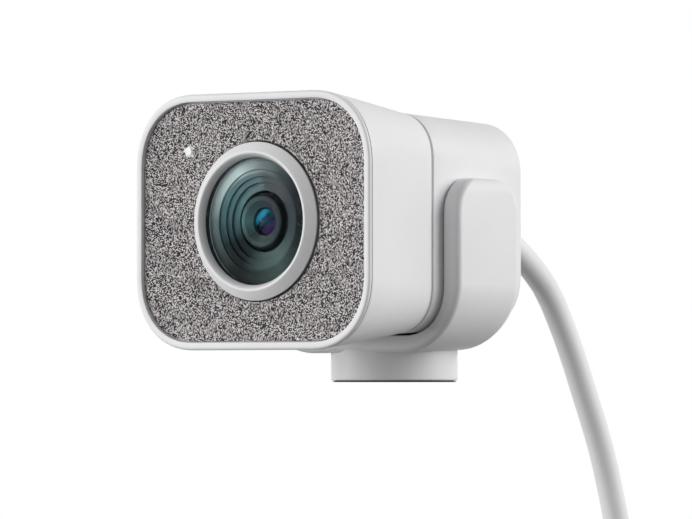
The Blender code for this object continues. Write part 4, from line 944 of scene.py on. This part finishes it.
rise = ELEMENT_THICKNESS / 3
radius = BARREL_BORE - GAP
profile = [(0, crown + ELEMENT_THICKNESS), (radius, crown + ELEMENT_THICKNESS)]
profile += [(radius * tenth / 10, crown + rise * (tenth / 10) ** 2) for tenth in range(10, -1, -1)]
element = turned("domed_element", profile, 96, solid=True)
element_reflection_paint, tree, shader = new_finish("element_painted_reflection")
x, z = lens_axes(tree)
# Painted reflections of the coatings: violet towards the lower right, blue towards the upper left.
leaning = math_node(tree, "MULTIPLY_ADD", x, -0.8, z)
fill(tree, shader, {
    "Base Color": colour_ramp(tree, ranged(tree, leaning, -1.3 * radius, 1.3 * radius), ELEMENT_REFLECTION),
    "Roughness": 0.05,
    "IOR": 1.25,
    "Specular Tint": (0.10, 0.55, 1.0, 1),
})
settle(element, element_reflection_paint, 40)
for piece, node, finish in (
    (barrel, "lens_barrel", "black_plastic"), (element, "front_element", "lens_glass")
):
    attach(piece, "lens")
    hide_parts(node)

# ---- funnel behind the window -----------------------------------------------------------------------------
# Black plastic funnel turned in flat steps with sharp risers, pressed in behind the window. It hides the
# barrel's sides from stray light. The coatings' teal and mauve reflections are painted into its colour, with
# a painted highlight at its upper left.
WINDOW_FRONT = 0.00092
WINDOW_THICKNESS = 0.0016
WINDOW_RADIUS = 0.01235
BAFFLE_FRONT = 0.00254
BAFFLE_STEPS = ((0.0101, 0.0), (0.0087, 0.00045), (0.0076, 0.00095), (0.0066, 0.00155))
BAFFLE_BORE = 0.0060
BAFFLE_DEPTH = 0.0027
FRAME_BORE = 0.0107
FRAME_FRONT = 0.0044
STEP_EASE = 0.00007

# Painted reflections, by turn from the left over the bottom, and colour: inside the painted reflection's
# circle, and outside it, where a painted highlight lies at the upper left.
INNER_REFLECTION = (
    (0.0, (0.040, 0.067, 0.070)), (0.083, (0.008, 0.010, 0.011)), (0.167, (0.007, 0.009, 0.010)),
    (0.25, (0.038, 0.050, 0.048)), (0.333, (0.056, 0.072, 0.070)), (0.417, (0.036, 0.042, 0.043)),
    (0.5, (0.028, 0.029, 0.031)), (0.583, (0.030, 0.029, 0.031)), (0.667, (0.054, 0.051, 0.056)),
    (0.74, (0.046, 0.050, 0.053)), (0.76, (0.075, 0.095, 0.098)), (0.833, (0.072, 0.107, 0.110)),
    (0.917, (0.060, 0.107, 0.113)), (1.0, (0.040, 0.067, 0.070)),
)
OUTER_REFLECTION = (
    (0.0, (0.100, 0.110, 0.115)), (0.083, (0.036, 0.038, 0.039)), (0.167, (0.006, 0.006, 0.006)),
    (0.25, (0.016, 0.019, 0.018)), (0.333, (0.036, 0.044, 0.042)), (0.417, (0.010, 0.011, 0.011)),
    (0.5, (0.005, 0.006, 0.007)), (0.583, (0.010, 0.010, 0.011)), (0.667, (0.034, 0.036, 0.037)),
    (0.75, (0.130, 0.132, 0.138)), (0.833, (0.380, 0.410, 0.400)), (0.917, (0.300, 0.330, 0.320)),
    (1.0, (0.100, 0.110, 0.115)),
)
PAINTED_REFLECTION_RADIUS = 0.00945
PAINTED_REFLECTION_SHIFT = 0.00065        # the painted reflection's edge lies off centre, to the left

profile = [(FRAME_BORE - GAP, BAFFLE_FRONT + BAFFLE_DEPTH), (FRAME_BORE - GAP, FRAME_FRONT - GAP)]
profile += [(WINDOW_RADIUS, FRAME_FRONT - GAP), (WINDOW_RADIUS, BAFFLE_FRONT)]
following = [depth for radius, depth in BAFFLE_STEPS[1:]] + [BAFFLE_DEPTH]
inner = [radius for radius, depth in BAFFLE_STEPS[:-1]] + [BAFFLE_BORE]
for (_, depth), radius, next_depth in zip(BAFFLE_STEPS, inner, following):
    profile += arc(radius + STEP_EASE, BAFFLE_FRONT + depth + STEP_EASE, STEP_EASE, 270, 180, 3)
    profile.append((radius, BAFFLE_FRONT + next_depth))
funnel = turned("stepped_funnel", profile, 128)
settle(funnel, painted_reflection_finish("stepped_painted_reflection", INNER_REFLECTION, OUTER_REFLECTION, PAINTED_REFLECTION_RADIUS, PAINTED_REFLECTION_SHIFT, 0.5), 30)
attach(funnel, "head")
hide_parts("lens_baffle")

# ---- cover glass ------------------------------------------------------------------------------------------
# Flat cover glass, coated against reflections, with chamfered rims and a blackened edge. It is seated in the
# lens ring.
WINDOW_CHAMFER = 0.00017
SHEEN_SCALE = 90.0
SIDE_FACE = 0.5             # a face whose normal leans less to the axis than this is on the glass's edge
window_back = WINDOW_FRONT + WINDOW_THICKNESS
eased_radius = WINDOW_RADIUS - WINDOW_CHAMFER
profile = [(0, window_back), (eased_radius, window_back), (WINDOW_RADIUS, window_back - WINDOW_CHAMFER)]
profile += [(WINDOW_RADIUS, WINDOW_FRONT + WINDOW_CHAMFER), (eased_radius, WINDOW_FRONT), (0, WINDOW_FRONT)]
window = turned("cover_glass", profile, 128, solid=True)
clear_glass, tree, shader = new_finish("cover_glass")
sheen = noise(tree, object_spot(tree), SHEEN_SCALE, 1.0)
fill(tree, shader, {
    "Base Color": colour_ramp(tree, sheen, ((0.0, (0.78, 0.93, 0.92)), (1.0, (0.90, 0.92, 0.95)))),
    "Transmission Weight": 1.0,
    "Roughness": 0.0,
    "IOR": 1.04,
    "Specular Tint": (0.75, 1.0, 0.96, 1),
})
let_light = add_node(tree, "BsdfTransparent", {"Color": (0.9, 0.95, 0.95, 1)})
light_ray = add_node(tree, "LightPath").outputs["Is Shadow Ray"]
through = mix_shaders(tree, light_ray, shader, let_light)
fill(tree, tree.nodes["Material Output"], {"Surface": through})
settle(window, clear_glass, 30)
window.data.materials.append(black_plastic)
for face in window.data.polygons:
    if abs(face.normal.y) < SIDE_FACE:
        face.material_index = 1
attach(window, "head")
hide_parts("lens_window")

# ---- lens ring --------------------------------------------------------------------------------------------
# White moulded ring round the window: a shallow cone with a short wall at the cloth rises to a rounded crest,
# just proud of the face, and flares down to the glass.
RING_RADIUS = 0.0154
RING_BORE = 0.0124
RING_CREST = 0.0134
RING_CREST_ROUND = 0.0005
RING_PROUD = 0.00026
RING_EDGE = 0.0011          # depth at which the cone ends in an undercut edge
RING_EDGE_ROUND = 0.0002
RING_UNDERCUT = 0.0150
RING_FLARE = 0.0009
RING_DEPTH = 0.0041

profile = [(RING_UNDERCUT, RING_DEPTH), (RING_UNDERCUT, RING_EDGE + 2 * RING_EDGE_ROUND)]
profile += arc(RING_RADIUS - RING_EDGE_ROUND, RING_EDGE + RING_EDGE_ROUND, RING_EDGE_ROUND, 80, -54, 8)
profile += arc(RING_CREST, RING_CREST_ROUND - RING_PROUD, RING_CREST_ROUND, -54, -132, 10)
profile += [(RING_BORE, RING_FLARE), (RING_BORE, RING_DEPTH)]
ring = turned("conical_ring", profile, 160)
settle(ring, white_plastic, 40)
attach(ring, "head")
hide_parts("lens_ring")

# ---- cloth face and its carrier ---------------------------------------------------------------------------
# Melange cloth bonded to a thin skin and stretched over a rigid black plate; it dishes from the bezel to the
# lens ring, and the lamp's light guide shines through it.
BEZEL_RIM = 0.00105
FABRIC_INSET = 0.00085
FABRIC_DISH = 0.0009
FABRIC_THICKNESS = 0.0006
FABRIC_ROWS = 24
LAMP_X = -0.0169
LAMP_Z = 0.0139
LAMP_CORE = 0.00035         # the cloth is fully lit within this of the lamp, and dark past the next
LAMP_EDGE = 0.0008
LAMP_RAGGED = 0.0011        # how far the yarns shift that edge
LAMP_GLOW = 0.35
YARN = 0.0002
YARN_WANDER = 0.6
YARN_RELIEF = 0.00007
YARN_PAINTED_SHADE = 0.45          # painted shade: how much darker a yarn is where it dips
DRIFT_SCALE = 1300.0
FIBRE_SCALE = 6500.0
FIBRE_RELIEF = 0.3
DYE_SHARE = 0.85            # how much its dye and its fibres change a yarn's shade, and how dark the mix is
FIBRE_SHARE = 0.5
SHADE_DROP = -0.17
YARN_COLOURS = (
    (0.18, (0.006, 0.0055, 0.0057)), (0.418, (0.006, 0.0055, 0.0057)), (0.458, (0.31, 0.288, 0.29)),
    (0.50, (0.95, 0.89, 0.89)), (0.68, (0.96, 0.90, 0.90)),
)

cloth = start_piece("cloth_face")
cloth_edge = face_loop(0, 2 * GAP + BEZEL_RIM)
shape, (outline, mouth) = draw_loops(cloth, [cloth_edge, (RING_RADIUS + GAP, 0)])
rows = [outline]
for row in range(1, FABRIC_ROWS):
    points = [one.co.lerp(two.co, row / FABRIC_ROWS) for one, two in zip(outline, mouth)]
    rows.append([shape.verts.new(point) for point in points])
rows.append(mouth)
for number, row in enumerate(rows):
    for vert in row:
        vert.co.y = FABRIC_INSET + FABRIC_DISH * math.sin(number / FABRIC_ROWS * math.pi / 2)
for one, two in zip(rows, rows[1:]):
    join_rows(shape, one, two)
bmesh.update_edit_mesh(cloth.data)
bpy.ops.mesh.select_all(action="SELECT")
bpy.ops.mesh.normals_make_consistent(inside=False)
bpy.ops.object.mode_set(mode="OBJECT")
if sum(face.normal.y * face.area for face in cloth.data.polygons) > 0:
    cloth.data.flip_normals()
backing = cloth.modifiers.new("skin", "SOLIDIFY")
backing.thickness = FABRIC_THICKNESS
backing.offset = -1
bpy.ops.object.modifier_apply(modifier=backing.name)

weave, given, result = shader_group(
    "melange_weave",
    {"Pitch": YARN, "Wander": YARN_WANDER},
    {"Dye and painted shade": "Float", "Height": "Float"},
)
spot = object_spot(weave)
counted = vector_node(weave, "SCALE", spot, math_node(weave, "DIVIDE", 1.0, given["Pitch"]))
drift = {"Vector": spot, "Scale": DRIFT_SCALE, "Detail": 2.0, "Roughness": 0.7}
drift = vector_node(weave, "SUBTRACT", add_node(weave, "TexNoise", drift).outputs["Color"], (0.5, 0.5, 0.5))
counted = vector_node(weave, "ADD", counted, vector_node(weave, "SCALE", drift, given["Wander"]))
axes = add_node(weave, "SeparateXYZ", {0: counted}).outputs
column, row = [math_node(weave, "FLOOR", axes[axis]) for axis in "XZ"]
along_x, along_z = [math_node(weave, "FRACT", axes[axis]) for axis in "XZ"]
warp = math_node(weave, "ABSOLUTE", math_node(weave, "MODULO", math_node(weave, "ADD", column, row), 2.0))
over = add_node(weave, "Mix", {0: warp, 2: along_z, 3: along_x}).outputs[0]
under = add_node(weave, "Mix", {0: warp, 2: along_x, 3: along_z}).outputs[0]
crown_of_yarn, dip = [
    math_node(weave, "SINE", math_node(weave, "MULTIPLY", way, math.pi)) for way in (over, under)
]
dip = math_node(weave, "MULTIPLY_ADD", dip, 0.5, 0.5)
height = math_node(weave, "MULTIPLY", crown_of_yarn, dip)
cell = add_node(weave, "CombineXYZ", {0: column, 1: row, 2: 0.0}).outputs[0]
dye = add_node(weave, "TexWhiteNoise", {"Vector": cell}, noise_dimensions="2D").outputs["Value"]
fibres = noise(weave, spot, FIBRE_SCALE, 2.0, 0.7)
mixed = math_node(weave, "MULTIPLY_ADD", dye, DYE_SHARE, SHADE_DROP)
mixed = math_node(weave, "MULTIPLY_ADD", fibres, FIBRE_SHARE, mixed)
# Painted shade: each yarn is darker where it dips under the next.
painted_yarn_shade = math_node(weave, "MULTIPLY_ADD", height, YARN_PAINTED_SHADE, 1 - YARN_PAINTED_SHADE)
fill(weave, result, {
    "Dye and painted shade": math_node(weave, "MULTIPLY", mixed, painted_yarn_shade),
    "Height": math_node(weave, "MULTIPLY_ADD", fibres, FIBRE_RELIEF, height),
})

melange, tree, shader = new_finish("melange_cloth")
woven = add_node(tree, "Group", node_tree=weave).outputs
from_lamp = vector_node(tree, "SUBTRACT", object_spot(tree), (LENS.x + LAMP_X, 0, LENS.z + LAMP_Z))
from_lamp = distance(tree, vector_node(tree, "MULTIPLY", from_lamp, (1, 0, 1)))
ragged = math_node(tree, "MULTIPLY_ADD", woven["Dye and painted shade"], -LAMP_RAGGED, from_lamp)
lit = ranged(tree, ragged, LAMP_CORE, LAMP_EDGE, 1.0, 0.0)
yarns = colour_ramp(tree, woven["Dye and painted shade"], YARN_COLOURS)
fill(tree, shader, {
    "Base Color": mix_colours(tree, lit, yarns, (0.9, 0.88, 0.87, 1)),
    "Emission Color": mix_colours(tree, lit, (0, 0, 0, 1), (1, 1, 1, 1)),
    "Emission Strength": LAMP_GLOW,
    "Normal": bumped(tree, woven["Height"], YARN_RELIEF),
    "Roughness": 0.9,
    "Sheen Weight": 0.2,
})
settle(cloth, melange, 40)
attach(cloth, "head")
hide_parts("fabric_panel")
cloth_width, cloth_height, cloth_corner, _ = cloth_edge
cloth_area = cloth_width * cloth_height - (4 - math.pi) * cloth_corner ** 2
cloth_area -= math.pi * (RING_RADIUS + GAP) ** 2
paint(black_plastic, "fabric_carrier")
lamp_light = moulded_finish("lamp_guide", (0.9, 0.9, 0.88), 0.2, 0.3, 9000.0, 0.000004, 0.02)
paint(lamp_light, "led_guide")

# ---- bezel ------------------------------------------------------------------------------------------------
# White rim pressed into the shell's mouth: it laps over the shell's lip, with a fine parting line behind it,
# and its rounded front edge frames the cloth.
BEZEL_DEPTH = 0.0013
BEZEL_INNER = GAP + BEZEL_RIM
loops = [face_loop(BEZEL_DEPTH, GAP), face_loop(RIM_SIDE, GAP), shell_loop(RIM_SIDE, SHELL_LIP / 4)]
loops.append(shell_loop(RIM_SIDE - SHELL_LIP / 4))
loops += [shell_loop(depth, inset) for inset, depth in reversed(eased(RIM_ROUND, 6))]
loops += [face_loop(0, BEZEL_INNER - GAP / 2), face_loop(GAP / 6, BEZEL_INNER - GAP / 6)]
loops += [face_loop(GAP / 2, BEZEL_INNER), face_loop(BEZEL_DEPTH, BEZEL_INNER)]
bezel = skin("face_rim", loops, ring=True)
settle(bezel, white_plastic, 32)
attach(bezel, "head")
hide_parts("front_bezel")

# ---- cable ------------------------------------------------------------------------------------------------
# One and a half metres of round white-grey cable: it leaves the sleeve level, falls under its own weight, and
# is wound behind the camera into eight upright turns, which lie a diameter apart in nine places.
CABLE_FALL = (              # back from the sleeve's tip and up from the lens
    (0.0073, -0.0010), (0.0149, -0.0045), (0.0239, -0.0113), (0.0291, -0.0181), (0.0332, -0.0248),
    (0.0367, -0.0314), (0.0436, -0.0451), (0.0486, -0.0590), (0.0519, -0.0700), (0.0534, -0.0753),
    (0.05469, -0.0862),
)
FALL_STEP = 0.004
COIL_BACK = 0.0940
COIL_DOWN = -0.0970
COIL_RADIUS = 0.0270
COIL_TURNS = 8
STEPS_IN_TURN = 60
CROSS_WIDTH = 40            # degrees in which one turn moves over to the next place
CROSS_LAST = 327
CROSS_LIFT = 0.00075
TAIL_LENGTH = 0.0200
ROW = math.sqrt(3) * CABLE_RADIUS


def smooth_route(points, step):
    """Points a step apart on a smooth curve through the route's own points."""
    fine = []
    padded = [2 * points[0] - points[1], *points, 2 * points[-1] - points[-2]]
    for a, b, c, d in zip(padded, padded[1:], padded[2:], padded[3:]):
        pieces = max(1, round((c - b).length / step))
        for i in range(pieces):
            t = i / pieces
            bend = (2 * a - 5 * b + 4 * c - d) * t ** 2 + (3 * b - a - 3 * c + d) * t ** 3
            fine.append(0.5 * (2 * b + (c - a) * t + bend))
    fine.append(points[-1])
    return fine


places = [                  # out from the middle of the turns, and across
    (ROW, 0), (ROW, -2), (0, -1), (-ROW, -2), (-ROW, 0), (0, 1), (-ROW, 2), (0, 3), (ROW, 2),
]
places = [(COIL_RADIUS + out, across * CABLE_RADIUS) for out, across in places]
lifts = [(1, 0), (-0.5, -0.87), (0.5, -0.87), (-1, 0), (0, 0), (0, 0), (-0.5, 0.87), (0.5, 0.87)]


def coil_point(radius, x, angle):
    """Point of the coil, by its distance from the middle and its turn."""
    return LENS + Vector((x, COIL_BACK + radius * math.cos(angle), COIL_DOWN + radius * math.sin(angle)))


fall = [Vector((0, RELIEF_BACK + behind, above)) for behind, above in ((0, 0), *CABLE_FALL)]
line = [LENS + point for point in smooth_route(fall, FALL_STEP)]
for turn in range(COIL_TURNS):
    start = CROSS_LAST - CROSS_WIDTH * (turn + 1)
    for step in range(STEPS_IN_TURN):
        travelled = step * 360 / STEPS_IN_TURN
        crossed = min(max((travelled - start) / CROSS_WIDTH, 0), 1)
        lift = CROSS_LIFT * math.sin(math.pi * crossed) ** 2
        crossed = crossed * crossed * (3 - 2 * crossed)
        radius, x = [
            here * (1 - crossed) + there * crossed + lift * lifted
            for here, there, lifted in zip(places[turn], places[turn + 1], lifts[turn])
        ]
        line.append(coil_point(radius, x, -math.radians(travelled)))
tail = coil_point(*places[-1], 0)
line += [tail - Vector((0, 0, share * TAIL_LENGTH)) for share in (0, 0.35, 0.7, 1)]

track = bpy.data.curves.new("usb_cable", "CURVE")
track.dimensions = "3D"
track.bevel_depth = CABLE_RADIUS
track.bevel_resolution = 7
track.use_fill_caps = True
spline = track.splines.new("POLY")
spline.points.add(len(line) - 1)
for target, point in zip(spline.points, line):
    target.co = (*point, 1)
spline.use_smooth = True
cable = bpy.data.objects.new("usb_cable", track)
bpy.context.collection.objects.link(cable)
track.materials.append(cable_rubber)
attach(cable, "camera_base")
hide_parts("cable", "cable_coil")

# ---- cable tie --------------------------------------------------------------------------------------------
# Black hook-and-loop strap round all eight turns of the coil. It closes on itself, with a fuzzy face and
# eased edges.
TIE_WIDTH = 0.0090
TIE_THICKNESS = 0.0012
TIE_ANGLE = math.radians(-6)
TIE_DEPTH = ROW + CABLE_RADIUS + 2 * GAP
TIE_ACROSS = 3.5 * CABLE_RADIUS + GAP
TIE_CORNER = CABLE_RADIUS / 2


def tie_loop(wall, along):
    """Outline of the strap at a height in its thickness, and a place along its width."""
    return (2 * (TIE_DEPTH + wall), 2 * (TIE_ACROSS + wall), TIE_CORNER + wall, along)


ease = TIE_THICKNESS / 4
loops = [tie_loop(ease, -TIE_WIDTH / 2), tie_loop(TIE_THICKNESS - ease, -TIE_WIDTH / 2)]
loops += [tie_loop(TIE_THICKNESS, ease - TIE_WIDTH / 2), tie_loop(TIE_THICKNESS, TIE_WIDTH / 2 - ease)]
loops += [tie_loop(TIE_THICKNESS - ease, TIE_WIDTH / 2), tie_loop(ease, TIE_WIDTH / 2)]
loops += [tie_loop(0, TIE_WIDTH / 2 - ease), tie_loop(0, ease - TIE_WIDTH / 2)]
tie = skin("hook_loop_tie", loops, ring=True)
turned_tie = Matrix((
    (0, 0, 1),
    (math.cos(TIE_ANGLE), -math.sin(TIE_ANGLE), 0),
    (math.sin(TIE_ANGLE), math.cos(TIE_ANGLE), 0),
)).to_euler()
along_radius = Vector((0, math.cos(TIE_ANGLE), math.sin(TIE_ANGLE))) * COIL_RADIUS
tie_place = Vector((CABLE_RADIUS / 2, COIL_BACK, COIL_DOWN)) + along_radius
strap = moulded_finish(
    "hook_loop_strap", (0.02, 0.02, 0.021), 0.85, 0.95, 3200.0, 0.00012, 0.5, {"Sheen Weight": 0.3}
)
settle(tie, strap, 40, turned_tie, tie_place)
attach(tie, "camera_base")
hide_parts("cable_tie")

# ---- plug -------------------------------------------------------------------------------------------------
# Soft grip with a narrow neck, moulded on the cable's end and over the steel shell of a small oval
# connector.
PLUG_NECK = 0.0050
PLUG_LENGTH = 0.0200
PLUG_WIDTH = 0.0116
PLUG_THICKNESS = 0.0064
CONNECTOR_WIDTH = 0.00834
CONNECTOR_HEIGHT = 0.00256
CONNECTOR_LENGTH = 0.0066
CONNECTOR_WALL = 0.0003

plug_top = COIL_DOWN - TAIL_LENGTH
shoulder = plug_top - PLUG_NECK
plug_end = shoulder - PLUG_LENGTH
neck = PLUG_THICKNESS * 0.92
soft = PLUG_THICKNESS / 6
corner = PLUG_THICKNESS * 0.4
wide, thick = neck * 1.05, neck * 0.95
loops = [
    (neck * 0.96, neck * 0.86, neck * 0.4, plug_top),
    (neck, neck * 0.9, neck * 0.4, plug_top - soft / 5),
    (wide, thick, neck * 0.4, shoulder),
]
for short, depth in eased(1, 5)[1:]:
    width = PLUG_WIDTH - (PLUG_WIDTH - wide) * short
    height = PLUG_THICKNESS - (PLUG_THICKNESS - thick) * short
    loops.append((width, height, corner, shoulder - soft * depth))
loops.append((PLUG_WIDTH, PLUG_THICKNESS, corner, plug_end + soft / 2))
for rise, inset in eased(soft, 4)[1:]:
    loops.append((PLUG_WIDTH - inset, PLUG_THICKNESS - inset, corner - inset / 2, plug_end + rise / 2))
grip = skin("plug_body", loops)
plug_place = (places[-1][1], COIL_BACK + places[-1][0], 0)
settle(grip, cable_rubber, 35, UPRIGHT, plug_place)
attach(grip, "camera_base")
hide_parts("plug_grip")


def connector_loop(inset, z):
    """Oval outline of the connector at a height, drawn in by an inset."""
    width, height = CONNECTOR_WIDTH - 2 * inset, CONNECTOR_HEIGHT - 2 * inset
    return (width, height, 0.49 * height, z)


mouth = plug_end - GAP - CONNECTOR_LENGTH
ease = CONNECTOR_WALL / 4
loops = [connector_loop(0, plug_end - GAP), connector_loop(0, mouth + ease), connector_loop(ease, mouth)]
loops += [connector_loop(CONNECTOR_WALL - ease, mouth), connector_loop(CONNECTOR_WALL, mouth + ease)]
loops += [connector_loop(CONNECTOR_WALL, plug_end - GAP - CONNECTOR_WALL)]
connector = skin("plug_tip", loops)
settle(connector, steel, 35, UPRIGHT, plug_place)
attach(connector, "camera_base")
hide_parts("plug_connector")
